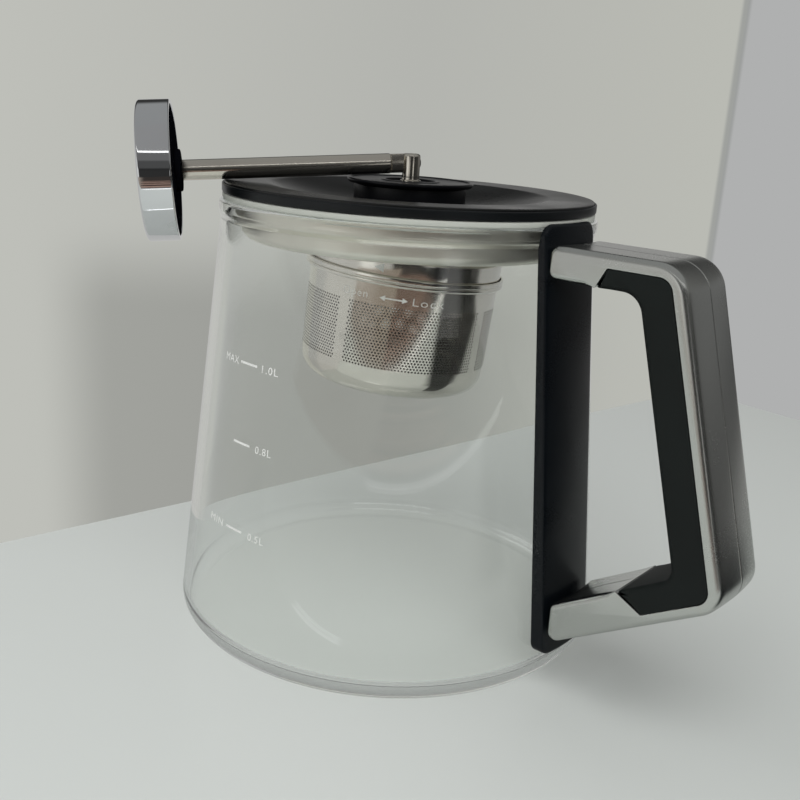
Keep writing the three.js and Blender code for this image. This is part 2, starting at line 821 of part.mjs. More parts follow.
function knobInsert() {
  const outer = knobRadius - knobWall - seatGap / 2;
  const hole = knobScrewRadius + seatGap;
  const to = insertStart + insertDepth;
  return onRod([[hole, insertStart], [outer, insertStart], [outer, to], [hole, to]]);
}

function knobCap() {
  const end = insertStart + knobDepth;
  const inner = knobRadius - knobWall;
  return onRod([
    [0, end - knobFace],
    [inner, end - knobFace],
    [inner, insertStart],
    [knobRadius, insertStart],
    [knobRadius, end - knobBevel],
    [knobRadius - knobBevel, end],
    [0, end],
  ]);
}

function knobScrew() {
  const seat = insertStart + insertDepth + seatGap / 3;
  const tip = seat - knobScrewLength;
  return onRod(
    [
      [0, tip],
      [knobScrewRadius, tip],
      [knobScrewRadius, seat],
      [knobScrewHeadRadius, seat],
      [knobScrewHeadRadius, seat + knobScrewHeadDepth],
      [0, seat + knobScrewHeadDepth],
    ],
    shaftSteps,
  );
}

// The rod with the blind hole that the knob's screw sits in.
function drilledRod() {
  const tip = insertStart + insertDepth - knobScrewLength - overrun;
  return rod().subtract(barAlongX(knobScrewRadius + seatGap / 2, tip, rodEnd + overrun, 0));
}

// Fall of the rod from level, where it lies on the lid's crest.
function rodSlope() {
  const drop = pinHeight - crestHeight - rodRest;
  const length = Math.hypot(crestRadius, drop);
  return Math.atan2(drop, crestRadius) - Math.asin(rodRadius / length);
}

function headCollar() {
  const inner = collarRadius - collarThickness;
  const corner = collarRadius - collarRounding;
  const underside = collarTop - collarThickness;
  return revolve(
    [
      [collarHoleRadius, underside],
      [inner, underside],
      [inner, collarFoot],
      [collarRadius, collarFoot],
      ...arc(corner, collarTop - collarRounding, collarRounding, 0, Math.PI / 2, roundingSteps),
      [collarHoleRadius, collarTop],
    ],
    basketSteps,
  );
}

// A wedge-shaped stretch of a ring that climbs as it turns, for lugs and for the channels that they run in.
function helixStretch(innerRadius, outerRadius, middle, height, fromAngle, toAngle, dropPerDegree, steps) {
  const vertices = [];
  const faces = [];
  for (let n = 0; n <= steps; n += 1) {
    const angle = fromAngle + ((toAngle - fromAngle) * n) / steps;
    const level = middle - dropPerDegree * THREE.MathUtils.radToDeg(angle - fromAngle);
    const across = [
      [innerRadius, level - height / 2],
      [outerRadius, level - height / 2],
      [outerRadius, level + height / 2],
      [innerRadius, level + height / 2],
    ];
    across.forEach(([radius, z]) => vertices.push(radius * Math.cos(angle), radius * Math.sin(angle), z));
  }
  for (let n = 0; n < steps; n += 1) {
    for (let k = 0; k < 4; k += 1) {
      const [a, b] = [4 * n + k, 4 * n + ((k + 1) % 4)];
      faces.push(a, b, b + 4, a, b + 4, a + 4);
    }
  }
  const last = 4 * steps;
  faces.push(0, 2, 1, 0, 3, 2, last, last + 1, last + 2, last, last + 2, last + 3);
  const geometry = new THREE.BufferGeometry();
  geometry.setAttribute("position", new THREE.Float32BufferAttribute(vertices, 3));
  geometry.setIndex(faces);
  return solidOf(geometry);
}

function headCore() {
  const top = collarTop - collarThickness - seatGap / 2;
  const plateFoot = top - corePlate;
  const inner = coreRadius - coreWall;
  const room = footRadius + seatGap;
  const body = revolve(
    [
      [collarHoleRadius, top],
      ...arc(0, 0, room, Math.acos(collarHoleRadius / room), 0),
      [room, socketFoot],
      [socketRadius, socketFoot],
      [socketRadius, plateFoot],
      [inner, plateFoot],
      [inner, coreFoot],
      [coreRadius, coreFoot],
      [coreRadius, top],
    ],
    basketSteps,
  );
  const lugInner = shellTopRadius - shellThickness - lugReach;
  return lugAngles().reduce((core, angle) => {
    const tail = lugWidthAngle / 2 + channelGap / coreRadius;
    const channel = helixStretch(
      lugInner - channelGap,
      coreRadius + overrun,
      lugLevel + bayonetPitch * THREE.MathUtils.radToDeg(tail),
      lugHeight + 2 * channelGap,
      angle - tail,
      angle + tail + bayonetTurn,
      bayonetPitch,
      channelSteps,
    );
    return core.subtract(channel);
  }, body);
}

function lugAngles() {
  return Array.from({ length: lugCount }, (_, n) => leanAzimuth + (2 * Math.PI * n) / lugCount);
}

function footRetainer() {
  const top = socketFoot - seatGap / 2;
  return ring(retainerHoleRadius, socketRadius, top - retainerDepth, top, shaftSteps);
}

function basketSeal() {
  const outer = collarRadius + sealGap;
  const top = collarFoot - sealGap;
  return ring(outer - sealWidth, outer, top - sealDepth, top, basketSteps);
}

function basketRim() {
  const inner = rimRadius - rimWall;
  const ledgeInner = shellTopRadius - shellThickness;
  const ledgeTop = rimFoot + rimLedgeDepth;
  return revolve(
    [
      [ledgeInner, rimFoot],
      [rimRadius - rimRounding, rimFoot],
      [rimRadius, rimFoot + rimRounding],
      [rimRadius, rimTop - rimRounding],
      [rimRadius - rimRounding, rimTop],
      [inner, rimTop],
      [inner, ledgeTop],
      [ledgeInner, ledgeTop],
    ],
    basketSteps,
  );
}

function basketShell() {
  const top = rimFoot - shellTopGap;
  const floor = top - shellDepth;
  const corner = shellFootRadius - shellCornerRadius;
  const cornerHeight = floor + shellCornerRadius;
  const shell = revolve(
    [
      [0, floor],
      ...arc(corner, cornerHeight, shellCornerRadius, -Math.PI / 2, 0),
      [shellTopRadius, top],
      [shellTopRadius - shellThickness, top],
      ...arc(corner, cornerHeight, shellCornerRadius - shellThickness, 0, -Math.PI / 2),
      [0, floor + shellThickness],
    ],
    basketSteps,
  );
  const wallMiddle = shellTopRadius - shellThickness / 2;
  return lugAngles().reduce((body, angle) => {
    const lug = helixStretch(
      shellTopRadius - shellThickness - lugReach,
      wallMiddle,
      lugLevel + bayonetPitch * THREE.MathUtils.radToDeg(lugWidthAngle / 2),
      lugHeight,
      angle - lugWidthAngle / 2,
      angle + lugWidthAngle / 2,
      bayonetPitch,
      lugSteps,
    );
    return body.add(lug);
  }, shell);
}

// The jug with its handle
function jugGroup() {
  const group = new THREE.Group();
  group.add(meshOf("glass_jug", glassJug(), finishes.glass));
  group.add(meshOf("glass_pad", glassPad(), finishes.darkSilicone));
  group.add(meshOf("spine_bracket", spineBracket(), finishes.satinBlack));
  group.add(meshOf("handle_left", handleHalf(-1), finishes.silver));
  group.add(meshOf("handle_right", handleHalf(1), finishes.silver));
  group.add(meshOf("grip_inlay", gripInlay(), finishes.softBlack));
  group.add(meshOf("handle_screw_upper", handleScrew(upperScrewHeight), finishes.zincSteel));
  group.add(meshOf("handle_screw_lower", handleScrew(lowerScrewHeight), finishes.zincSteel));
  return group;
}

// The lid with its hub
function lidGroup() {
  const group = new THREE.Group();
  group.add(meshOf("lid_cover", lidCover(), finishes.lidBlack));
  group.add(meshOf("lid_ring", lidRing(), finishes.lidBlack));
  group.add(meshOf("lid_gasket", lidGasket(), finishes.silicone));
  group.add(meshOf("lid_pan", lidPan(), finishes.brushedSteel));
  group.add(meshOf("hub_housing", hubHousing(), finishes.lidBlack));
  group.add(meshOf("hub_cap", hubCap(), finishes.lidBlack));
  group.add(meshOf("hub_bush", hubBush(), finishes.darkSilicone));
  group.add(meshOf("hub_nut", hubNut(), finishes.lidBlack));
  return group;
}

// The stem, turned so that its slot faces the rod
function stemGroup() {
  const group = new THREE.Group();
  group.add(meshOf("stem", stem(), finishes.polishedSteel));
  group.add(meshOf("hinge_pin", hingePin(), finishes.polishedSteel));
  group.add(meshOf("stem_foot", stemFoot(), finishes.polishedSteel));
  group.rotation.z = rodAzimuth;
  return group;
}

// The rod and knob, lying on the lid's crest
function rodGroup() {
  const group = new THREE.Group();
  group.add(meshOf("rod", drilledRod(), finishes.polishedSteel));
  group.add(meshOf("knob_boss", knobBoss(), finishes.softBlack));
  group.add(meshOf("knob_insert", knobInsert(), finishes.softBlack));
  group.add(meshOf("knob_cap", knobCap(), finishes.chrome));
  group.add(meshOf("knob_screw", knobScrew(), finishes.zincSteel));
  group.rotation.set(0, rodSlope(), rodAzimuth, "ZYX");
  group.position.z = pinHeight;
  return group;
}

// The infuser head and basket, leaning about the pivot
function infuserGroup() {
  const group = new THREE.Group();
  group.add(meshOf("head_collar", headCollar(), finishes.polishedSteel));
  group.add(meshOf("head_core", headCore(), finishes.softBlack));
  group.add(meshOf("foot_retainer", footRetainer(), finishes.zincSteel));
  group.add(meshOf("basket_seal", basketSeal(), finishes.silicone));
  group.add(meshOf("basket_rim", basketRim(), finishes.polishedSteel));
  group.add(meshOf("basket_shell", basketShell(), finishes.brushedSteel));
  const leanAxis = new THREE.Vector3(Math.cos(leanAzimuth), Math.sin(leanAzimuth), 0);
  group.quaternion.setFromAxisAngle(leanAxis, leanAngle);
  group.position.z = pivotHeight;
  return group;
}

const teaJug = new THREE.Group();
teaJug.add(jugGroup(), lidGroup(), stemGroup(), rodGroup(), infuserGroup());

export default teaJug;
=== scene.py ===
"""Looks of a glass tea jug with a lid, a folding lifting rod and a twist-lock strainer basket.

Sizes in the classes are in millimetres and degrees; meshes are made in metres, in the CAD model's frame.
"""

from __future__ import annotations

import logging
import math
from collections.abc import Callable, Sequence
from dataclasses import dataclass, replace
from enum import Enum

import bmesh
import bpy
from mathutils import Matrix, Vector


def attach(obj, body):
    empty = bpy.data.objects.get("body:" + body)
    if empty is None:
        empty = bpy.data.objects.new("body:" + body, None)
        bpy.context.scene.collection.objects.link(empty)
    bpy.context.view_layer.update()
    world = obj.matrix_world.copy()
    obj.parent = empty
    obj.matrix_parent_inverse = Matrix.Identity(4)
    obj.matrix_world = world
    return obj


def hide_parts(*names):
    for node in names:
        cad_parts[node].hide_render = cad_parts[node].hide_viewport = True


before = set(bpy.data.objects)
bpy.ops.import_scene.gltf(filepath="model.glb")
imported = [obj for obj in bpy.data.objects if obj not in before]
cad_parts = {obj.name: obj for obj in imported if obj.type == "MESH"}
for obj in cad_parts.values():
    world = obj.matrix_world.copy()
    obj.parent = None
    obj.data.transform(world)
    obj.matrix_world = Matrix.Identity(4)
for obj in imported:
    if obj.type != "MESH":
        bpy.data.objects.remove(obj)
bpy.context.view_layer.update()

LOG = logging.getLogger("tea_jug")
MM = 0.001
SMOOTH_ANGLE = math.radians(32)
ON_AXIS = 1e-6

Point = tuple[float, float]
Point3 = tuple[float, float, float]
Colour = tuple[float, float, float]
Corner = tuple[float, float, float]
Shape = tuple[list[Point3], list[list[int]]]


class Body(Enum):
    """The CAD bodies that pieces ride on."""

    JUG = "jug"
    LID = "lid"
    STEM = "stem_post"
    ROD = "lifting_rod"
    HEAD = "infuser_head"
    SEAL = "seal"
    BASKET = "basket"


class Slot(Enum):
    """The record's material slots, one given with each of the scene's own pieces and not used."""

    GLASS = "clear_glass"
    BRACKET = "satin_black"
    PAINT = "silver_paint"
    GRIP = "soft_grip"
    LID = "lid_black"
    SILICONE = "clear_silicone"
    BRUSHED = "brushed_steel"
    POLISHED = "polished_steel"
    BOSS = "boss_black"
    CHROME = "chrome_plate"


class Grain(Enum):
    """How the fine lines of a metal run."""

    ROUND = "round the axis"
    ALONG = "along the axis"
    PLAIN = "no lines"


def linear(red: int, green: int, blue: int) -> Colour:
    """Turns a colour from 0-255 display values into linear ones.

    Args:
        red: Red as displayed.
        green: Green as displayed.
        blue: Blue as displayed.

    Returns:
        The linear colour.
    """

    def one(value: int) -> float:
        """Turns one channel."""
        share = value / 255
        return share / 12.92 if share <= 0.04045 else ((share + 0.055) / 1.055) ** 2.4

    return one(red), one(green), one(blue)


class Sock:
    """A node's output that takes part in Python arithmetic, through Math nodes."""

    def __init__(self, shade: Shade, socket: bpy.types.NodeSocket) -> None:
        """Wraps an output socket of a tree."""
        self.shade = shade
        self.socket = socket

    def math(self, operation: str, *others: Sock | float, first: bool = True) -> Sock:
        """Adds a Math node.

        Args:
            operation: The node's operation.
            others: The other values.
            first: False where this socket is the second value.

        Returns:
            The node's output.
        """
        values = [self, *others] if first else [*others, self]
        return self.shade.node("ShaderNodeMath", {"operation": operation}, dict(enumerate(values)))["Value"]

    def __add__(self, other: Sock | float) -> Sock:
        """Adds."""
        return self.math("ADD", other)

    __radd__ = __add__

    def __sub__(self, other: Sock | float) -> Sock:
        """Subtracts."""
        return self.math("SUBTRACT", other)

    def __rsub__(self, other: float) -> Sock:
        """Subtracts from a number."""
        return self.math("SUBTRACT", other, first=False)

    def __mul__(self, other: Sock | float) -> Sock:
        """Multiplies."""
        return self.math("MULTIPLY", other)

    __rmul__ = __mul__

    def __truediv__(self, other: Sock | float) -> Sock:
        """Divides."""
        return self.math("DIVIDE", other)

    def __rtruediv__(self, other: float) -> Sock:
        """Divides a number."""
        return self.math("DIVIDE", other, first=False)

    def ramp(self, low: float, high: float, to_low: float = 0.0, to_high: float = 1.0) -> Sock:
        """Maps a range smoothly onto another one.

        Args:
            low: The value that gives to_low.
            high: The value that gives to_high.
            to_low: Result at low.
            to_high: Result at high.

        Returns:
            The mapped value.
        """
        inputs = {"Value": self, "From Min": low, "From Max": high, "To Min": to_low, "To Max": to_high}
        return self.shade.node("ShaderNodeMapRange", {"interpolation_type": "SMOOTHSTEP"}, inputs)["Result"]


class NodeOut:
    """A node whose outputs are read by name."""

    def __init__(self, shade: Shade, node: bpy.types.Node) -> None:
        """Wraps a node."""
        self.shade = shade
        self.node = node

    def __getitem__(self, name: str | int) -> Sock:
        """Gives an output by its name or place."""
        return Sock(self.shade, self.node.outputs[name])


class Shade:
    """A node tree of a material, of the world or of a mesh."""

    def __init__(self, tree: bpy.types.NodeTree) -> None:
        """Empties the tree."""
        self.tree = tree
        tree.nodes.clear()

    def node(self, kind: str, settings: dict | None = None, inputs: dict | None = None) -> NodeOut:
        """Adds a node.

        Args:
            kind: The node's type.
            settings: Its attributes, and "stops" for a colour ramp.
            inputs: Values or links of its sockets, by name or place.

        Returns:
            The node.
        """
        made = self.tree.nodes.new(kind)
        for name, value in (settings or {}).items():
            if name == "stops":
                while len(made.color_ramp.elements) < len(value):
                    made.color_ramp.elements.new(0.5)
                for element, (place, colour) in zip(made.color_ramp.elements, value):
                    element.position, element.color = place, (*colour, 1)
            else:
                setattr(made, name, value)
        for name, value in (inputs or {}).items():
            if isinstance(value, Sock):
                self.tree.links.new(value.socket, made.inputs[name])
            else:
                socket = made.inputs[name]
                wide = socket.type == "RGBA" and len(value) == 3
                socket.default_value = (*value, 1) if wide else value
        return NodeOut(self, made)

    def mix(self, share: Sock | float, low: Sock | Colour, high: Sock | Colour) -> Sock:
        """Mixes two colours.

        Args:
            share: Share of the second colour.
            low: First colour.
            high: Second colour.

        Returns:
            The mixed colour.
        """
        return self.node("ShaderNodeMix", {"data_type": "RGBA"}, {0: share, 6: low, 7: high})[2]

    def noise(self, place: Sock, scale: float, detail: float = 2.0, roughness: float = 0.5) -> Sock:
        """Gives smooth noise.

        Args:
            place: Coordinates.
            scale: Lumps per metre.
            detail: Octaves.
            roughness: Weight of the finer octaves.

        Returns:
            The noise, around one half.
        """
        inputs = {"Vector": place, "Scale": scale, "Detail": detail, "Roughness": roughness}
        return self.node("ShaderNodeTexNoise", {"noise_dimensions": "3D"}, inputs)["Fac"]

    def bump(self, height: Sock, strength: float, distance: float) -> Sock:
        """Turns a height into a normal.

        Args:
            height: The height, from 0 to 1.
            strength: How strong the bump is.
            distance: Its depth in metres.

        Returns:
            The normal.
        """
        inputs = {"Height": height, "Strength": strength, "Distance": distance}
        return self.node("ShaderNodeBump", {}, inputs)["Normal"]


@dataclass(frozen=True)
class Finish:
    """What all finishes share: a name, and the frame that their pattern lies in."""

    name: str
    colour: Colour
    roughness: float = 0.4
    centre: Point3 = (0.0, 0.0, 0.0)
    turn: Point3 = (0.0, 0.0, 0.0)

    def material(self) -> bpy.types.Material:
        """Gives the material, made once.

        Returns:
            The material.
        """
        name = "finish_" + self.name
        made = bpy.data.materials.get(name)
        if made is None:
            made = bpy.data.materials.new(name)
            made.use_nodes = True
            self.dress(Shade(made.node_tree))
        return made

    def place(self, shade: Shade) -> Sock:
        """Gives Object coordinates, turned into the pattern's own frame.

        Args:
            shade: The material's tree.

        Returns:
            The coordinates.
        """
        object_place = shade.node("ShaderNodeTexCoord")["Object"]
        if not any(self.centre + self.turn):
            return object_place
        inputs = {"Vector": object_place, "Location": self.centre, "Rotation": self.turn}
        return shade.node("ShaderNodeMapping", {"vector_type": "TEXTURE"}, inputs)["Vector"]

    def dress(self, shade: Shade) -> None:
        """Builds the nodes of the finish."""
        raise NotImplementedError

    def surface(self, shade: Shade, inputs: dict) -> None:
        """Adds the main shader with these values or links, and the output."""
        main = shade.node("ShaderNodeBsdfPrincipled", {}, inputs)
        shade.node("ShaderNodeOutputMaterial", {}, {"Surface": main["BSDF"]})


@dataclass(frozen=True)
class ClearGlass(Finish):
    """Borosilicate glass that lets lamps through, with faint smears."""

    shadow: Colour = (0.995, 0.997, 0.995)
    bounces: float = 4.5

    def dress(self, shade: Shade) -> None:
        """Builds the glass.

        Args:
            shade: The material's tree.
        """
        smear = shade.noise(self.place(shade), 55.0, 3.0, 0.6)
        rough = smear.ramp(0.5, 0.75, 0.0, self.roughness)
        inputs = {"Base Color": self.colour, "Roughness": rough, "IOR": 1.47, "Transmission Weight": 1.0}
        glass = shade.node("ShaderNodeBsdfPrincipled", {}, inputs)
        path = shade.node("ShaderNodeLightPath")
        trapped = path["Ray Depth"].math("GREATER_THAN", self.bounces)
        lamps = path["Is Shadow Ray"].math("MAXIMUM", path["Is Diffuse Ray"]).math("MAXIMUM", trapped)
        clear = shade.node("ShaderNodeBsdfTransparent", {}, {"Color": self.shadow})
        both = shade.node("ShaderNodeMixShader", {}, {0: lamps, 1: glass["BSDF"], 2: clear["BSDF"]})
        shade.node("ShaderNodeOutputMaterial", {}, {"Surface": both["Shader"]})


@dataclass(frozen=True)
class MouldedPlastic(Finish):
    """Moulded plastic or rubber with a fine eroded texture and handling marks."""

    grain_size: float = 0.35
    grain_depth: float = 0.02
    mottle: float = 0.12
    shine: float = 0.5

    def dress(self, shade: Shade) -> None:
        """Builds the plastic.

        Args:
            shade: The material's tree.
        """
        place = self.place(shade)
        grain = shade.noise(place, 1 / (self.grain_size * MM), 3.0, 0.55)
        cloud = shade.noise(place, 45.0, 3.0)
        light = tuple(min(1.0, channel * (1 + self.mottle)) for channel in self.colour)
        dark = tuple(channel * (1 - self.mottle) for channel in self.colour)
        inputs = {
            "Base Color": shade.mix(cloud.ramp(0.3, 0.7), dark, light),
            "Roughness": cloud.ramp(0.3, 0.7, self.roughness - 0.04, self.roughness + 0.04)
            + (grain - 0.5) * 0.12,
            "Specular IOR Level": self.shine,
            "Normal": shade.bump(grain, 0.5, self.grain_depth * MM),
        }
        self.surface(shade, inputs)


@dataclass(frozen=True)
class SilverPaint(Finish):
    """Satin silver paint with fine metal flakes."""

    def dress(self, shade: Shade) -> None:
        """Builds the paint.

        Args:
            shade: The material's tree.
        """
        place = self.place(shade)
        flakes = shade.node("ShaderNodeTexVoronoi", {"feature": "F1"}, {"Vector": place, "Scale": 5200.0})["Color"]
        sparkle = shade.node("ShaderNodeSeparateColor", {}, {0: flakes})[0]
        cloud = shade.noise(place, 30.0, 2.0)
        peel = shade.noise(place, 900.0, 2.0)
        bright = tuple(min(1.0, channel * 1.03) for channel in self.colour)
        dull = tuple(channel * 0.97 for channel in self.colour)
        inputs = {
            "Base Color": shade.mix(sparkle * 0.7 + cloud * 0.3, dull, bright),
            "Metallic": 1.0,
            "Roughness": self.roughness + (cloud - 0.5) * 0.06 + (sparkle - 0.5) * 0.04,
            "Normal": shade.bump(peel, 0.12, 0.003 * MM),
        }
        self.surface(shade, inputs)


@dataclass(frozen=True)
class Metal(Finish):
    """Steel or chrome, with fine lines round or along its axis."""

    grain: Grain = Grain.PLAIN
    line_depth: float = 0.004
    stain: float = 0.05

    def lines(self, shade: Shade, place: Sock) -> Sock:
        """Gives fine lines that follow the axis of the pattern's frame.

        Args:
            shade: The material's tree.
            place: Coordinates in the pattern's frame.

        Returns:
            The lines, around one half.
        """
        parts = shade.node("ShaderNodeSeparateXYZ", {}, {"Vector": place})
        x, y, z = parts["X"], parts["Y"], parts["Z"]
        radius = (x * x + y * y).math("SQRT")
        turn = y.math("ARCTAN2", x)
        across, along = (z + radius, turn * 2.0) if self.grain is Grain.ROUND else (turn * 0.03, z * 90.0)
        stretched = shade.node("ShaderNodeCombineXYZ", {}, {"X": across * 9000.0, "Y": along})["Vector"]
        return shade.noise(stretched, 1.0, 2.0, 0.6)

    def dress(self, shade: Shade) -> None:
        """Builds the metal.

        Args:
            shade: The material's tree.
        """
        place = self.place(shade)
        cloud = shade.noise(place, 60.0, 3.0)
        fine = shade.noise(place, 2500.0) if self.grain is Grain.PLAIN else self.lines(shade, place)
        dull = tuple(channel * (1 - self.stain) for channel in self.colour)
        rough = self.roughness + (fine - 0.5) * 0.5 * self.roughness + (cloud - 0.5) * 0.05
        inputs = {
            "Base Color": shade.mix(cloud.ramp(0.35, 0.7), self.colour, dull),
            "Metallic": 1.0,
            "Roughness": rough.math("MAXIMUM", 0.02),
            "Normal": shade.bump(fine, 0.35, self.line_depth * MM),
        }
        self.surface(shade, inputs)


@dataclass(frozen=True)
class Silicone(Finish):
    """Cloudy silicone that passes some light."""

    clearness: float = 0.25

    def dress(self, shade: Shade) -> None:
        """Builds the silicone.

        Args:
            shade: The material's tree.
        """
        place = self.place(shade)
        cloud = shade.noise(place, 120.0, 3.0)
        dull = tuple(channel * 0.92 for channel in self.colour)
        inputs = {
            "Base Color": shade.mix(cloud, dull, self.colour),
            "Roughness": self.roughness + (cloud - 0.5) * 0.12,
            "Transmission Weight": self.clearness,
            "IOR": 1.41,
            "Normal": shade.bump(shade.noise(place, 1800.0), 0.3, 0.02 * MM),
        }
        self.surface(shade, inputs)


@dataclass(frozen=True)
class Ink(Finish):
    """Printed or etched marks with slightly uneven cover."""

    def dress(self, shade: Shade) -> None:
        """Builds the ink.

        Args:
            shade: The material's tree.
        """
        cover = shade.noise(self.place(shade), 2500.0, 3.0)
        thin = tuple(channel * 0.86 for channel in self.colour)
        inputs = {
            "Base Color": shade.mix(cover.ramp(0.35, 0.6), thin, self.colour),
            "Roughness": self.roughness + (cover - 0.5) * 0.1,
        }
        self.surface(shade, inputs)


BASKET_LEAN = math.radians(4.8)
LEAN_AZIMUTH = 130.0
PIVOT = (0.0, 0.0, 112.0)
LEAN_AXIS = Vector((math.cos(math.radians(LEAN_AZIMUTH)), math.sin(math.radians(LEAN_AZIMUTH)), 0.0))
LEAN = Matrix.Rotation(BASKET_LEAN, 4, LEAN_AXIS)
LEAN_TURN = tuple(LEAN.to_euler("XYZ"))
PIVOT_PLACE = tuple(value * MM for value in PIVOT)

GLASS = ClearGlass("jug_glass", (0.962, 0.973, 0.964), 0.02)
PAD_RUBBER = MouldedPlastic("pad_rubber", linear(34, 36, 38), 0.7, grain_size=0.6)
BRACKET_BLACK = MouldedPlastic(
    "bracket_black", linear(11, 15, 19), 0.3, grain_size=0.25, grain_depth=0.006, shine=0.24)
HANDLE_SILVER = SilverPaint("handle_silver", linear(198, 200, 196), 0.25)
GRIP_BLACK = MouldedPlastic("grip_black", linear(23, 27, 26), 0.62, grain_size=0.3, grain_depth=0.03, shine=0.2)
LID_TOP_BLACK = MouldedPlastic("lid_top_black", linear(14, 15, 15), 0.3, grain_size=0.3, grain_depth=0.006, shine=0.42)
LID_RING_BLACK = MouldedPlastic(
    "lid_ring_black", linear(14, 17, 19), 0.36, grain_size=0.3, grain_depth=0.006, shine=0.3)
HUB_BLACK = MouldedPlastic("hub_black", linear(7, 8, 11), 0.34, grain_size=0.3, grain_depth=0.008, shine=0.3)
BOSS_BLACK = MouldedPlastic("boss_black", linear(12, 13, 17), 0.6, grain_size=0.25, shine=0.0)
BUSH_BLACK = MouldedPlastic("bush_black", linear(24, 25, 26), 0.55, grain_size=0.4, shine=0.3)
GASKET = Silicone("gasket_silicone", linear(201, 204, 196), 0.5, clearness=0.1)
SEAL = Silicone("seal_silicone", linear(150, 152, 148), 0.5, clearness=0.1)
PAN_STEEL = Metal("pan_steel", linear(234, 232, 222), 0.4, grain=Grain.ROUND, line_depth=0.0015)
COLLAR_STEEL = Metal("collar_steel", linear(226, 223, 216), 0.1, PIVOT_PLACE, LEAN_TURN, Grain.ROUND, 0.003)
BASKET_STEEL = Metal("basket_steel", linear(228, 225, 217), 0.11, PIVOT_PLACE, LEAN_TURN, Grain.ALONG, 0.003)
STEM_STEEL = Metal("stem_steel", linear(216, 211, 200), 0.15, grain=Grain.ALONG)
CHROME = Metal("knob_chrome", linear(225, 227, 229), 0.05, stain=0.03, line_depth=0.001)
SCREW_STEEL = Metal("screw_steel", linear(150, 152, 155), 0.35)
WHITE_INK = Ink("white_ink", linear(240, 241, 238), 0.55)
ETCHED = Ink("etched_white", linear(238, 238, 234), 0.6)


def fillet(corners: Sequence[tuple], steps: int = 8) -> list[tuple]:
    """Rounds the corners of a closed outline.

    Args:
        corners: Tuples of x, y and radius, with any further values kept on each point.
        steps: Steps in each rounded corner.

    Returns:
        Points of x, y and the further values.
    """
    outline: list[tuple] = []
    count = len(corners)
    for number, (x, y, radius, *rest) in enumerate(corners):
        here = Vector((x, y))
        before = (Vector(corners[number - 1][:2]) - here).normalized()
        after = (Vector(corners[(number + 1) % count][:2]) - here).normalized()
        if radius <= 0:
            outline.append((x, y, *rest))
            continue
        half = math.acos(max(-1.0, min(1.0, before.dot(after)))) / 2
        centre = here + (before + after).normalized() * (radius / math.sin(half))
        start = here + before * (radius / math.tan(half)) - centre
        end = here + after * (radius / math.tan(half)) - centre
        cross = start.x * end.y - start.y * end.x
        turn = math.atan2(cross, start.dot(end))
        for step in range(steps + 1):
            angle = turn * step / steps
            cosine, sine = math.cos(angle), math.sin(angle)
            point = Vector((start.x * cosine - start.y * sine, start.x * sine + start.y * cosine)) + centre
            outline.append((point.x, point.y, *rest))
    return outline


def make_piece(
    name: str,
    points: Sequence[Sequence[float]],
    faces: Sequence[Sequence[int]],
    finish: Finish,
    place: Matrix | None = None,
    merge: float = 0.0,
) -> bpy.types.Object:
    """Makes a piece from points in millimetres.

    Args:
        name: The piece's name.
        points: Its points.
        faces: Its faces.
        finish: Its finish.
        place: Where the points' frame lies, in millimetres.
        merge: Distance in millimetres under which points are merged.

    Returns:
        The piece, at the origin with its place in its mesh.
    """
    mesh = bpy.data.meshes.new(name)
    mesh.from_pydata([tuple(point) for point in points], [], [tuple(face) for face in faces])
    if place is not None:
        mesh.transform(place)
    mesh.transform(Matrix.Scale(MM, 4))
    shape = bmesh.new()
    shape.from_mesh(mesh)
    if merge > 0:
        bmesh.ops.remove_doubles(shape, verts=shape.verts, dist=merge * MM)
    bmesh.ops.recalc_face_normals(shape, faces=shape.faces)
    shape.to_mesh(mesh)
    shape.free()
    mesh.shade_smooth()
    mesh.set_sharp_from_angle(angle=SMOOTH_ANGLE)
    mesh.materials.append(finish.material())
    piece = bpy.data.objects.new(name, mesh)
    bpy.context.scene.collection.objects.link(piece)
    return piece


def polar(radius: float, angle: float, height: float) -> Point3:
    """Gives the point at a radius, an angle and a height."""
    return radius * math.cos(angle), radius * math.sin(angle), height


def ring_faces(low: Sequence[int], high: Sequence[int]) -> list[list[int]]:
    """Gives the faces between two rings, each of which may be one point repeated.

    Args:
        low: Numbers of the first ring's points.
        high: Numbers of the second ring's points.

    Returns:
        The faces.
    """
    if low[0] == low[-1] and high[0] == high[-1]:
        return []
    quads = zip(low, (*low[1:], low[0]), (*high[1:], high[0]), high)
    return [list(dict.fromkeys(quad)) for quad in quads]


def tube_faces(around: int, total: int) -> list[list[int]]:
    """Gives the faces of a closed tube whose points lie in loops, one after the other.

    Args:
        around: Points in each loop.
        total: Points in all loops.

    Returns:
        The faces, the two ends first.
    """
    loops = [range(start, start + around) for start in range(0, total, around)]
    faces = [list(loops[0]), list(loops[-1])]
    for low, high in zip(loops, loops[1:]):
        faces += ring_faces(low, high)
    return faces


def stacked(rows: Sequence[tuple | list[Point3]], steps: int, closed: bool) -> Shape:
    """Joins rings about +Z.

    Args:
        rows: Radius and height of each ring, or a list of its points.
        steps: Points in each ring.
        closed: True where the last ring joins the first one.

    Returns:
        Points and faces.
    """
    points: list[Point3] = []
    rings: list[Sequence[int]] = []
    for row in rows:
        start = len(points)
        if isinstance(row, list):
            points += row
        elif row[0] < ON_AXIS:
            points.append((0.0, 0.0, row[1]))
            rings.append([start] * steps)
            continue
        else:
            points += [polar(row[0], 2 * math.pi * step / steps, row[1]) for step in range(steps)]
        rings.append(range(start, start + steps))
    pairs = zip(rings, rings[1:] + rings[:1] if closed else rings[1:])
    return points, [face for low, high in pairs for face in ring_faces(low, high)]


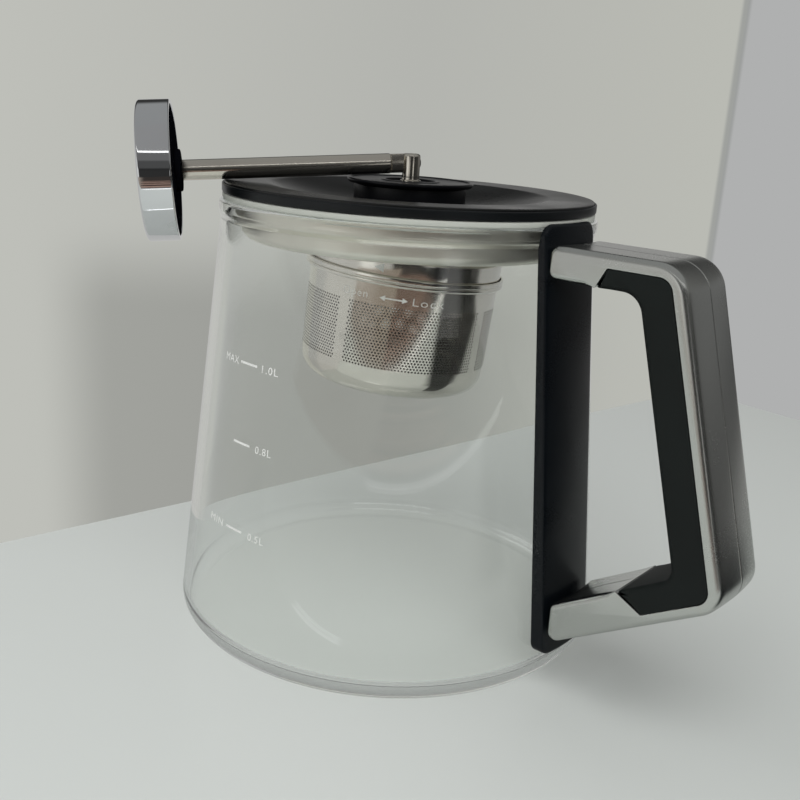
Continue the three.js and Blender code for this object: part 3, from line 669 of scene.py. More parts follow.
def lathe(
    name: str, profile: Sequence[Point], finish: Finish, steps: int = 192, place: Matrix | None = None
) -> bpy.types.Object:
    """Turns a closed profile about +Z.

    Args:
        name: The piece's name.
        profile: Radius and height of each point, closed onto itself.
        finish: Its finish.
        steps: Steps round the circle.
        place: Where the axis lies, in millimetres.

    Returns:
        The piece.
    """
    return make_piece(name, *stacked(profile, steps, True), finish, place)


@dataclass(frozen=True)
class Rim:
    """One side of a slab: where its flat face lies, and how its edge is rounded."""

    level: float
    scale: float = 1.0
    steps: int = 6


def slab(
    name: str,
    outline: Sequence[Corner],
    low: Rim,
    high: Rim,
    finish: Finish,
    levels: Sequence[float] = (),
    shift: Callable[[float, float, float, Vector], tuple[float, float]] | None = None,
    place: Matrix | None = None,
) -> bpy.types.Object:
    """Makes a slab from a side view in the XZ plane, between two levels of Y.

    Args:
        name: The piece's name.
        outline: X, Z and edge rounding of each point.
        low: The side towards -Y.
        high: The side towards +Y.
        finish: Its finish.
        levels: Further levels between the two sides.
        shift: Gives a point's place from its x, z, y and outward normal.
        place: Where the slab's frame lies, in millimetres.

    Returns:
        The piece.
    """
    count = len(outline)
    area = sum(
        outline[n][0] * outline[(n + 1) % count][1] - outline[(n + 1) % count][0] * outline[n][1]
        for n in range(count)
    )
    side = 1.0 if area > 0 else -1.0
    normals = []
    for number in range(count):
        before, after = outline[number - 1], outline[(number + 1) % count]
        along = Vector((after[0] - before[0], after[1] - before[1])).normalized()
        normals.append(Vector((along.y * side, -along.x * side)))
    loops: list[list[Point3]] = []

    def add_rim(rim: Rim, sign: float, order: Sequence[int]) -> None:
        """Adds the rounded loops of one side.

        Args:
            rim: The side.
            sign: 1 where the slab goes on towards +Y.
            order: Steps of the rounding, in the order of the loops.
        """
        for step in order:
            angle = math.pi / 2 * step / rim.steps
            loop = []
            for (x, z, rounding), normal in zip(outline, normals):
                size = rounding * rim.scale
                inset = size * (1 - math.sin(angle))
                y = rim.level + sign * size * (1 - math.cos(angle))
                loop.append((x - normal.x * inset, y, z - normal.y * inset))
            loops.append(loop)

    add_rim(low, 1.0, range(low.steps + 1))
    for level in levels:
        loops.append([(x, level, z) for x, z, _ in outline])
    add_rim(high, -1.0, range(high.steps, -1, -1))
    points = []
    for loop in loops:
        for (x, y, z), normal in zip(loop, normals):
            if shift is not None:
                x, z = shift(x, z, y, normal)
            points.append((x, y, z))
    return make_piece(name, points, tube_faces(count, len(points)), finish, place, merge=0.002)


def place_piece(piece: bpy.types.Object, body: Body, slot: Slot, *nodes: str) -> None:
    """Puts a piece on its body, in place of CAD nodes.

    Args:
        piece: The piece.
        body: The body that it rides on.
        slot: The record's slot for the piece; not used.
        nodes: The CAD nodes that it stands for.
    """
    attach(piece, body.value)
    if nodes:
        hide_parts(*nodes)
    LOG.info("%s: %d faces on %s", piece.name, len(piece.data.polygons), body.value)


def repaint(finish: Finish, *nodes: str) -> None:
    """Gives CAD nodes a better material.

    Args:
        finish: The finish.
        nodes: The nodes' names.
    """
    for node in nodes:
        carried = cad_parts[node]
        for slot in carried.material_slots:
            slot.material = finish.material()
        if not carried.material_slots:
            carried.data.materials.append(finish.material())
        LOG.info("%s: CAD node with %s", node, finish.name)


def joined(parts: Sequence[Shape]) -> Shape:
    """Joins several point and face lists.

    Args:
        parts: The lists.

    Returns:
        One list of points and one of faces.
    """
    points: list[Point3] = []
    faces: list[list[int]] = []
    for more_points, more_faces in parts:
        start = len(points)
        points += more_points
        faces += [[start + corner for corner in face] for face in more_faces]
    return points, faces


@dataclass(frozen=True)
class Mark:
    """A thin mark on a round wall: the wall's radius at a height, and the mark's middle and stand-off."""

    radius_at: Callable[[float], float]
    azimuth: float
    level: float
    lift: float = 0.03

    def bend(self, across: float, up: float, depth: float) -> Point3:
        """Bends a flat point onto the wall.

        Args:
            across: Its place across, from the mark's middle.
            up: Its place above the middle.
            depth: How much further out it lies.

        Returns:
            The point.
        """
        height = self.level + up
        radius = self.radius_at(height) + self.lift + depth
        return polar(radius, math.radians(self.azimuth) + across / radius, height)

    def text(self, words: str, height: float, width: float, thin: float = 0.0) -> Shape:
        """Makes a word.

        Args:
            words: The letters.
            height: Height of a capital.
            width: Width of the whole word.
            thin: Change of the strokes' width, as a share of the letters' size.

        Returns:
            Points and faces.
        """
        curve = bpy.data.curves.new("letters", "FONT")
        curve.body = words
        curve.size = 1.0
        curve.resolution_u = 3
        curve.extrude = 0.005
        curve.offset = thin
        curve.space_character = 1.15
        holder = bpy.data.objects.new("letters", curve)
        bpy.context.scene.collection.objects.link(holder)
        flat = bpy.data.meshes.new_from_object(holder.evaluated_get(bpy.context.evaluated_depsgraph_get()))
        bpy.data.objects.remove(holder)
        bpy.data.curves.remove(curve)
        places = [vertex.co.copy() for vertex in flat.vertices]
        faces = [list(polygon.vertices) for polygon in flat.polygons]
        bpy.data.meshes.remove(flat)
        left, right = min(place.x for place in places), max(place.x for place in places)
        capital = 0.69
        points = []
        for place in places:
            across = ((place.x - left) / (right - left) - 0.5) * width
            depth = 0.01 if place.z > 0 else -0.01
            points.append(self.bend(across, (place.y / capital - 0.5) * height, depth))
        return points, faces

    def patch(self, outline: Sequence[Point]) -> Shape:
        """Makes a flat convex patch.

        Args:
            outline: Its corners, across and up from its middle.

        Returns:
            Points and faces.
        """
        points = [self.bend(across, up, depth) for depth in (-0.01, 0.01) for across, up in outline]
        return points, tube_faces(len(outline), len(points))

    def bar(self, half_length: float, half_width: float) -> Shape:
        """Makes a level bar, in short pieces that follow the wall.

        Args:
            half_length: Half of its length.
            half_width: Half of its height.

        Returns:
            Points and faces.
        """
        step = half_length / 4
        pieces = []
        for start in (-half_length + n * step for n in range(8)):
            end = start + step
            outline = [(start, -half_width), (end, -half_width), (end, half_width), (start, half_width)]
            pieces.append(self.patch(outline))
        return joined(pieces)


@dataclass
class JugAssembly:
    """The glass jug with its marks, bracket, pad and handle."""

    height: float = 131.6
    wall_foot: float = 68.5
    wall_top: float = 56.15
    glass: float = 2.2
    floor: float = 4.1
    base_corner: float = 6.0
    floor_corner: float = 4.0
    lip_radius: float = 57.3
    lip_depth: float = 3.1
    lip_width: float = 3.1
    mouth_depth: float = 7.0
    bracket_width: float = 24.8
    bracket_foot: float = 10.8
    bracket_top: float = 133.0
    bracket_corner: float = 3.5
    bracket_gap: float = 0.6
    bracket_thin: float = 2.2
    bracket_thick: float = 3.7
    bracket_rounding: float = 0.7
    handle_width: float = 23.8
    edge_rounding: float = 1.7
    arm_top: float = 128.0
    arm_depth: float = 9.0
    top_reach: float = 96.5
    foot_reach: float = 119.6
    foot_height: float = 44.5
    grip_depth: float = 13.4
    lower_rise: float = 29.5
    lower_depth: float = 12.4
    root_radius: float = 2.4
    strip: float = 3.8
    top_seat: float = 22.9
    top_slope: float = 2.9
    foot_seat: float = 29.1
    foot_slope: float = 8.0
    seam: float = 0.12
    crown: float = 0.9
    root_gap: float = 0.3
    root_inset: float = 1.6
    marks: tuple[tuple[str, str, float], ...] = (
        ("MAX", "1.0L", 89.75), ("", "0.8L", 67.0), ("MIN", "0.5L", 41.5))

    def wall(self, height: float) -> float:
        """Gives the glass wall's outer radius at a height."""
        return self.wall_foot + (self.wall_top - self.wall_foot) * height / self.height

    def bracket_face(self, height: float) -> float:
        """Gives the radius of the bracket's outer face at a height."""
        taper = (self.bracket_thick - self.bracket_thin) / self.height
        return self.wall(height) + self.bracket_gap + self.bracket_thick - taper * height

    def root(self, height: float) -> float:
        """Gives the reach of an arm's end near the handle's side."""
        face = self.bracket_face(height) + self.root_gap
        return math.sqrt(face**2 - (self.handle_width / 2 - self.root_inset) ** 2)

    def back(self, height: float) -> float:
        """Gives the reach of the handle's back at a height."""
        lean = self.foot_reach - self.top_reach
        return self.top_reach + lean * (self.arm_top - height) / (self.arm_top - self.foot_height)

    def underside(self, reach: float) -> float:
        """Gives the height of the lower arm's underside at a reach."""
        start = self.root(self.foot_height - self.lower_rise)
        return self.foot_height - self.lower_rise * (self.foot_reach - reach) / (self.foot_reach - start)

    def inner_foot(self) -> Point:
        """Gives the inner corner over the lower outer corner.

        Returns:
            Its reach and height.
        """
        lean = (self.foot_reach - self.top_reach) / (self.arm_top - self.foot_height)
        slope = self.lower_rise / (self.foot_reach - self.root(self.foot_height - self.lower_rise))
        climb = (self.lower_depth - slope * self.grip_depth) / (1 + slope * lean)
        return self.foot_reach - self.grip_depth - lean * climb, self.foot_height + climb

    def glass_profile(self) -> list[Point]:
        """Gives the glass's profile.

        Returns:
            Radius and height of its points.
        """
        lip_foot = self.height - self.lip_depth
        mouth = self.lip_radius - self.lip_width
        mouth_foot = self.height - self.mouth_depth
        return fillet(
            [
                (0.0, 0.0, 0.0),
                (self.wall(0), 0.0, self.base_corner),
                (self.wall(lip_foot - 2.2), lip_foot - 2.2, 3.0),
                (self.lip_radius, lip_foot, 1.4),
                (self.lip_radius, self.height, 1.1),
                (mouth, self.height, 1.1),
                (mouth, mouth_foot + 3.0, 3.0),
                (self.wall(mouth_foot) - self.glass, mouth_foot, 3.0),
                (self.wall(self.floor) - self.glass, self.floor, self.floor_corner),
                (0.0, self.floor, 0.0),
            ],
            10,
        )

    def build_glass(self) -> None:
        """Builds the glass and the marks printed on it."""
        glass = lathe("jug_glass_wall", self.glass_profile(), GLASS, 256)
        place_piece(glass, Body.JUG, Slot.GLASS, "glass_jug")
        parts = []
        for limit, litres, level in self.marks:
            parts.append(Mark(self.wall, -93.6, level).bar(3.6, 0.32))
            parts.append(Mark(self.wall, -85.4, level - 0.2).text(litres, 2.1, 5.9))
            if limit:
                parts.append(Mark(self.wall, -101.4, level).text(limit, 2.1, 7.0))
        marks = make_piece("litre_marks", *joined(parts), WHITE_INK)
        place_piece(marks, Body.JUG, Slot.GLASS)

    def bracket_rows(self) -> list[Point]:
        """Gives the rows of the bracket.

        Returns:
            Height and half width of each row.
        """
        half, radius = self.bracket_width / 2, self.bracket_corner
        turns = [math.pi / 2 * step / 8 for step in range(9)]
        corner = [(radius * (1 - math.cos(turn)), half - radius * (1 - math.sin(turn))) for turn in turns]
        span = self.bracket_top - self.bracket_foot - 2 * radius
        rows = [(self.bracket_foot + rise, wide) for rise, wide in corner]
        rows += [(self.bracket_foot + radius + span * n / 40, half) for n in range(1, 40)]
        return rows + [(self.bracket_top - rise, wide) for rise, wide in reversed(corner)]

    def build_bracket(self) -> None:
        """Builds the bracket as a curved plate with rounded rims."""
        rows = self.bracket_rows()
        columns = 20
        middle = (self.bracket_foot + self.bracket_top) / 2
        tall = (self.bracket_top - self.bracket_foot) / 2
        round_rim = self.bracket_rounding

        def inner_face(height: float) -> float:
            """Gives the inner radius, clear of the lip."""
            lip = self.lip_radius + 0.3 if height > self.height - self.lip_depth - 1.3 else 0.0
            return max(self.wall(height) + self.bracket_gap, lip)

        def at(row: int, column: int, inset: float, depth: float, outer: bool) -> Point3:
            """Gives a point of the plate.

            Args:
                row: Its row.
                column: Its column.
                inset: How far the loop lies inside the edge.
                depth: How far it lies below the face.
                outer: True for the outer face.

            Returns:
                The point.
            """
            height, half = rows[row]
            across = (2 * column / columns - 1) * half * (1 - inset / (self.bracket_width / 2))
            level = middle + (height - middle) * (1 - inset / tall)
            radius = (self.bracket_face(level) if outer else inner_face(level)) - depth
            return math.sqrt(radius**2 - across**2), across, level

        turns = [math.radians(angle) for angle in (0, 22.5, 45, 67.5, 90)]
        loops = [(round_rim * (1 - math.sin(turn)), round_rim * (1 - math.cos(turn)), True) for turn in turns]
        loops += [(0.0, 0.0, False)]
        edge = [(0, column) for column in range(columns)]
        edge += [(row, columns) for row in range(len(rows) - 1)]
        edge += [(len(rows) - 1, column) for column in range(columns, 0, -1)]
        edge += [(row, 0) for row in range(len(rows) - 1, 0, -1)]
        points: list[Point3] = []
        faces: list[list[int]] = []
        for inset, depth, outer in loops:
            start = len(points)
            points += [at(row, column, inset, depth, outer) for row, column in edge]
            if start:
                faces += ring_faces(range(start - len(edge), start), range(start, len(points)))
        for inset, depth, outer in (loops[0], loops[-1]):
            start = len(points)
            for row in range(len(rows)):
                points += [at(row, column, inset, depth, outer) for column in range(columns + 1)]
            for row in range(len(rows) - 1):
                for column in range(columns):
                    corner = start + row * (columns + 1) + column
                    faces.append([corner, corner + 1, corner + columns + 2, corner + columns + 1])
        plate = make_piece("bracket_plate", points, faces, BRACKET_BLACK, merge=0.004)
        place_piece(plate, Body.JUG, Slot.BRACKET, "spine_bracket")

    def split(self, corners: Sequence[tuple], spacing: float = 2.5) -> list[Corner]:
        """Rounds an outline and divides its long edges.

        Args:
            corners: X, z, radius and edge rounding of each corner.
            spacing: Longest edge that is left.

        Returns:
            X, z and edge rounding of each point.
        """
        rounded = fillet(corners, 10)
        outline: list[Corner] = []
        for (x, z, size), (next_x, next_z, next_size) in zip(rounded, rounded[1:] + rounded[:1]):
            outline.append((x, z, size))
            pieces = int(math.hypot(next_x - x, next_z - z) / spacing)
            for share in (n / pieces for n in range(1, pieces)):
                near = min(1.0, share / 0.15) if next_size > size else max(0.0, (share - 0.85) / 0.15)
                between = x + (next_x - x) * share, z + (next_z - z) * share
                outline.append((*between, size + (next_size - size) * near))
        return outline

    def grip_line(self, fit: float, end_rounding: float) -> list[tuple]:
        """Gives the line where the hard frame and the soft grip meet, from the upper arm to the lower one.

        Args:
            fit: How far the line lies outside the grip.
            end_rounding: Edge rounding at its two ends.

        Returns:
            X, z, radius and edge rounding of each corner.
        """
        top_start, foot_start = self.top_reach - self.top_seat, self.foot_reach - self.foot_seat
        strip_top, strip_foot = self.arm_top - self.strip, self.foot_reach - self.strip
        foot_end = foot_start + self.foot_slope
        corner, fine = 4.0 + fit, 0.25
        return [
            (top_start - fit, self.arm_top - self.arm_depth, 0.5, end_rounding),
            (top_start + self.top_slope - fit, strip_top + fit, 0.9, fine),
            (self.back(strip_top) - self.strip + fit, strip_top + fit, corner, fine),
            (strip_foot + fit, self.underside(strip_foot) + self.strip - fit, corner, fine),
            (foot_end - fit, self.underside(foot_end) + self.strip - fit, 0.9, fine),
            (foot_start - fit, self.underside(foot_start) + self.lower_depth, 0.5, end_rounding),
        ]

    def frame_outline(self) -> list[Corner]:
        """Gives the side view of the handle's hard frame.

        Returns:
            X, z and edge rounding of each point.
        """
        root, full = self.root_radius, self.edge_rounding
        low_height = self.foot_height - self.lower_rise
        low_root, top_root = self.root(low_height), self.root(self.arm_top - root)
        return self.split(
            [
                (low_root, low_height, root, full),
                (self.foot_reach, self.foot_height, 8.0, full),
                (self.top_reach, self.arm_top, 9.0, full),
                (top_root, self.arm_top, root, full),
                (top_root, self.arm_top - self.arm_depth, root, full),
                *self.grip_line(0.15, 0.25),
                (low_root, low_height + self.lower_depth, root, full),
            ]
        )

    def grip_outline(self) -> list[Corner]:
        """Gives the side view of the soft grip.

        Returns:
            X, z and edge rounding of each point.
        """
        inner_top, full = self.arm_top - self.arm_depth, self.edge_rounding
        return self.split(
            [
                *reversed(self.grip_line(0.0, full * 0.6)),
                (self.back(inner_top) - self.grip_depth, inner_top, 6.0, full),
                (*self.inner_foot(), 4.5, full),
            ]
        )

    def shape_frame(self, x: float, z: float, y: float, normal: Vector) -> tuple[float, float]:
        """Crowns the handle's back and lets its arms follow the bracket.

        Args:
            x: Reach of the point.
            z: Its height.
            y: Its place across the handle.
            normal: Its outward direction in the side view.

        Returns:
            Its new reach and height.
        """
        half = self.handle_width / 2
        bulge = self.crown * (1 - (y / half) ** 2) * max(0.0, normal.x) ** 2
        clear = self.bracket_face(z) + self.root_gap
        here = math.sqrt(clear**2 - y**2)
        edge = math.sqrt(clear**2 - (half - self.root_inset) ** 2)
        near = max(0.0, min(1.0, 1 - (x - edge - 3.0) / 9.0))
        return x + bulge + (here - edge) * near, z

    def build_handle(self) -> None:
        """Builds the two halves of the handle and the soft grip."""
        half, gap = self.handle_width / 2, self.seam / 2
        outline = self.frame_outline()
        left = (-9.0, -7.0, -5.0, -3.0, -1.5, -0.6)
        right = [-level for level in reversed(left)]
        for side, low, high, levels in (
            ("left", Rim(-half), Rim(-gap, 0.12, 3), left), ("right", Rim(gap, 0.12, 3), Rim(half), right)
        ):
            piece = slab(f"handle_half_{side}", outline, low, high, HANDLE_SILVER, levels, self.shape_frame)
            place_piece(piece, Body.JUG, Slot.PAINT, f"handle_{side}")
        grip = slab("handle_soft_grip", self.grip_outline(), Rim(-half), Rim(half), GRIP_BLACK)
        place_piece(grip, Body.JUG, Slot.GRIP, "grip_inlay")

    def build(self) -> None:
        """Builds every piece of the jug."""
        self.build_glass()
        self.build_bracket()
        self.build_handle()
        repaint(PAD_RUBBER, "glass_pad")
        repaint(SCREW_STEEL, "handle_screw_upper", "handle_screw_lower")


@dataclass
class LidAssembly:
    """The lid with its ring, gasket, dished cover, pan and hub."""

    ring_bottom: float = 133.6
    ring_top: float = 136.1
    ring_radius: float = 56.5
    skirt_outer: float = 52.0
    skirt_inner: float = 50.4
    skirt_foot: float = 129.0
    gasket_radius: float = 56.3
    gasket_inner: float = 53.5
    gasket_foot: float = 130.1
    gasket_step: float = 131.7
    gasket_top: float = 133.5
    cover_seat: float = 135.2
    rebate_floor: float = 135.1
    rebate_radius: float = 55.8
    cover_radius: float = 55.7
    crest_radius: float = 54.6
    crest_height: float = 136.7
    cover_thickness: float = 1.8
    rim_width: float = 12.0
    rim_fall: float = 0.25
    rim_blend: float = 0.06
    dish_depth: float = 5.7
    dish_power: float = 1.9
    pan_wall: float = 52.9
    pan_foot: float = 127.9
    pan_step: float = 50.2
    pan_floor: float = 120.7
    pan_recess: float = 33.0
    pan_recess_depth: float = 3.4
    pan_thick: float = 0.7
    hub_radius: float = 17.1
    hub_top: float = 137.7
    tail_radius: float = 11.6
    bore: float = 7.3
    cap_radius: float = 19.2
    cap_top: float = 139.3
    cap_hole: float = 7.6
    nut_bottom: float = 121.35
    bush_bore: float = 3.3
    bush_radius: float = 7.2
    bush_drop: float = 0.7

    def dish(self, radius: float) -> float:
        """Shapes the cover's top: a bowl with a nearly level band round it.

        Args:
            radius: Distance from the lid's axis.

        Returns:
            Height of the top there.
        """
        edge = self.crest_radius - self.rim_width
        share = max(0.0, (radius - self.tail_radius) / (edge - self.tail_radius))
        bowl = self.crest_height - self.rim_fall - (self.dish_depth - self.rim_fall) * (1 - share**self.dish_power)
        band = self.crest_height - self.rim_fall * (self.crest_radius - radius) / self.rim_width
        low = min(bowl, band)
        return low - self.rim_blend * math.log(1 + math.exp(-abs(bowl - band) / self.rim_blend))

    def build_ring(self) -> None:
        """Builds the ring and the gasket under it."""
        ring = fillet(
            [
                (self.skirt_inner, self.skirt_foot, 0.3),
                (self.skirt_outer, self.skirt_foot, 0.3),
                (self.skirt_outer, self.ring_bottom, 0.2),
                (self.ring_radius, self.ring_bottom, 0.3),
                (self.ring_radius, self.ring_top, 0.35),
                (self.rebate_radius, self.ring_top, 0.1),
                (self.rebate_radius, self.rebate_floor, 0.1),
                (self.skirt_inner, self.rebate_floor, 0.2),
            ],
            4,
        )
        place_piece(lathe("lid_black_ring", ring, LID_RING_BLACK, 256), Body.LID, Slot.LID, "lid_ring")
        inner, lip = self.gasket_inner, self.gasket_inner + 0.25
        gasket = fillet(
            [
                (inner, self.gasket_foot, 0.1),
                (lip, self.gasket_foot, 0.1),
                (lip, self.gasket_step, 0.1),
                (self.gasket_radius, self.gasket_step, 0.5),
                (self.gasket_radius, self.gasket_top, 0.5),
                (inner, self.gasket_top, 0.2),
            ],
            4,
        )
        place_piece(lathe("lid_silicone_gasket", gasket, GASKET, 256), Body.LID, Slot.SILICONE, "lid_gasket")

    def build_cover(self) -> None:
        """Builds the dished cover."""
        inner, shoulder = self.tail_radius + 0.3, self.skirt_inner - 0.3
        count = 80
        stops = [self.crest_radius - 0.9 - (self.crest_radius - 0.9 - inner) * n / count for n in range(count + 1)]
        rim = fillet(
            [
                (self.cover_radius, self.cover_seat, 0.1),
                (self.cover_radius, self.cover_seat + 1.42, 0.28),
                (self.crest_radius, self.crest_height, 0.8),
                (stops[0], self.dish(stops[0]), 0.0),
            ],
            5,
        )[:-1]
        under = [radius for radius in reversed(stops) if radius < shoulder]
        profile = [
            *rim,
            *((radius, self.dish(radius)) for radius in stops),
            *((radius, self.dish(radius) - self.cover_thickness) for radius in under),
            (shoulder, self.dish(shoulder) - self.cover_thickness),
            (shoulder, self.cover_seat),
        ]
        place_piece(lathe("lid_dished_cover", profile, LID_TOP_BLACK, 256), Body.LID, Slot.LID, "lid_cover")

    def build_pan(self) -> None:
        """Builds the steel pan under the lid."""
        wall, step, floor = self.pan_wall, self.pan_step, self.pan_floor
        recess_top = floor + self.pan_recess_depth
        thick = self.pan_thick
        profile = fillet(
            [
                (self.tail_radius + 0.3, recess_top, 0.0),
                (self.pan_recess - 0.6, recess_top, 0.9),
                (self.pan_recess, floor, 0.9),
                (step, floor, 2.6),
                (step, self.pan_foot - 0.9, 0.8),
                (wall, self.pan_foot, 0.8),
                (wall, self.ring_bottom - 0.3, 0.15),
                (wall - thick, self.ring_bottom - 0.3, 0.15),
                (wall - thick, self.pan_foot + thick, 0.3),
                (step - thick, self.pan_foot - 0.9 + thick, 0.3),
                (step - thick, floor + thick, 1.9),
                (self.pan_recess + thick, floor + thick, 0.2),
                (self.pan_recess + thick - 0.6, recess_top + thick, 1.2),
                (self.tail_radius + 0.3, recess_top + thick, 0.0),
            ],
            6,
        )
        place_piece(lathe("lid_steel_pan", profile, PAN_STEEL, 256), Body.LID, Slot.BRUSHED, "lid_pan")

    def build_hub(self) -> None:
        """Builds the hub's barrel, cap and bush."""
        seat = self.crest_height - self.dish_depth + 0.3
        barrel = fillet(
            [
                (self.bore, self.nut_bottom, 0.2),
                (self.tail_radius, self.nut_bottom, 0.3),
                (self.tail_radius, seat, 0.0),
                (self.hub_radius, self.dish(self.hub_radius) + 0.3, 0.3),
                (self.hub_radius, self.hub_top, 0.3),
                (self.bore, self.hub_top, 0.2),
            ],
            4,
        )
        place_piece(lathe("hub_barrel", barrel, HUB_BLACK, 128), Body.LID, Slot.LID, "hub_housing")
        bottom, top = self.hub_top + 0.1, self.cap_top
        cap = fillet(
            [
                (self.cap_hole, bottom, 0.1),
                (self.cap_radius - 0.7, bottom, 0.5),
                (self.cap_radius, bottom + 0.7, 0.4),
                (self.cap_radius, top, 0.35),
                (self.cap_radius - 0.8, top, 0.3),
                (self.cap_radius - 1.2, top - 0.35, 0.2),
                (self.cap_hole + 1.6, top - 0.35, 0.3),
                (self.cap_hole + 1.2, top - 0.1, 0.3),
                (self.cap_hole, top - 0.1, 0.3),
            ],
            4,
        )
        place_piece(lathe("hub_round_cap", cap, HUB_BLACK, 128), Body.LID, Slot.LID, "hub_cap")
        bore, outer, end = self.bush_bore, self.bush_radius, top - self.bush_drop
        bush = fillet(
            [(bore, self.nut_bottom, 0.2), (outer, self.nut_bottom, 0.2), (outer, end, 0.5), (bore, end, 0.5)], 4
        )
        place_piece(lathe("hub_stem_bush", bush, BUSH_BLACK, 96), Body.LID, Slot.LID, "hub_bush")
        repaint(HUB_BLACK, "hub_nut")

    def build(self) -> None:
        """Builds every piece of the lid."""
        self.build_ring()
        self.build_cover()
        self.build_pan()
        self.build_hub()


@dataclass
class StemAssembly:
    """The slotted stem that the basket hangs from, with its pin and ball foot."""

    azimuth: float = -130.3
    post_radius: float = 2.7
    stem_radius: float = 3.1
    shoulder: float = 139.3
    top: float = 147.0
    slot_width: float = 2.2
    slot_foot: float = 140.0
    foot_centre: float = 112.0
    foot_radius: float = 4.8
    foot_neck: float = 2.1
    top_rounding: float = 0.9

    @property
    def place(self) -> Matrix:
        """Gives the frame in which the slot runs along X."""
        return Matrix.Rotation(math.radians(self.azimuth), 4, "Z")

    def build_post(self) -> None:
        """Builds the post below the slot and the two cheeks beside it."""
        low = lathe(
            "stem_post_low",
            fillet(
                [
                    (0.0, self.foot_centre + self.foot_radius / 2, 0.0),
                    (self.stem_radius, self.foot_centre + self.foot_radius / 2, 0.2),
                    (self.stem_radius, self.shoulder - 0.2, 0.1),
                    (self.post_radius, self.shoulder, 0.1),
                    (self.post_radius, self.slot_foot, 0.0),
                    (0.0, self.slot_foot, 0.0),
                ],
                3,
            ),
            STEM_STEEL,
            64,
        )
        place_piece(low, Body.STEM, Slot.POLISHED, "stem")
        for side, name in ((1, "stem_cheek_left"), (-1, "stem_cheek_right")):
            place_piece(self.cheek(side, name), Body.STEM, Slot.POLISHED)

    def cheek(self, side: int, name: str) -> bpy.types.Object:
        """Builds one cheek beside the slot.

        Args:
            side: 1 for the side towards +Y of the slot's frame.
            name: The piece's name.

        Returns:
            The piece.
        """
        near = self.slot_width / 2
        reach = math.acos(near / self.post_radius)
        steps = 20
        rounding = self.top_rounding
        levels = [(self.slot_foot - 0.02, 1.0)]
        for turn in (math.pi / 2 * n / 5 for n in range(6)):
            share = 1 - rounding * (1 - math.cos(turn)) / self.post_radius
            levels.append((self.top - rounding * (1 - math.sin(turn)), share))
        points: list[Point3] = []
        for height, share in levels:
            radius = self.post_radius * share
            for n in range(steps + 1):
                angle = math.pi / 2 - reach + 2 * reach * n / steps
                y = max(near, radius * math.sin(angle))
                points.append((radius * math.cos(angle), side * y, height))
        faces = tube_faces(steps + 1, len(points))
        return make_piece(name, points, faces, STEM_STEEL, self.place, merge=0.002)

    def build(self) -> None:
        """Builds the stem and its ball foot."""
        self.build_post()
        steps = 24
        turns = [math.pi * (n / steps - 0.5) for n in range(steps * 3 // 4)]
        profile = [(self.foot_radius * math.cos(turn), self.foot_radius * math.sin(turn)) for turn in turns]
        profile[0] = (0.0, -self.foot_radius)
        neck = self.stem_radius + 0.3
        profile += [(neck, profile[-1][1]), (neck, self.foot_neck), (0.0, self.foot_neck)]
        place = Matrix.Translation((0, 0, self.foot_centre))
        ball = lathe("stem_ball_foot", profile, STEM_STEEL, 64, place)
        place_piece(ball, Body.STEM, Slot.POLISHED, "stem_foot")
        repaint(STEM_STEEL, "hinge_pin")


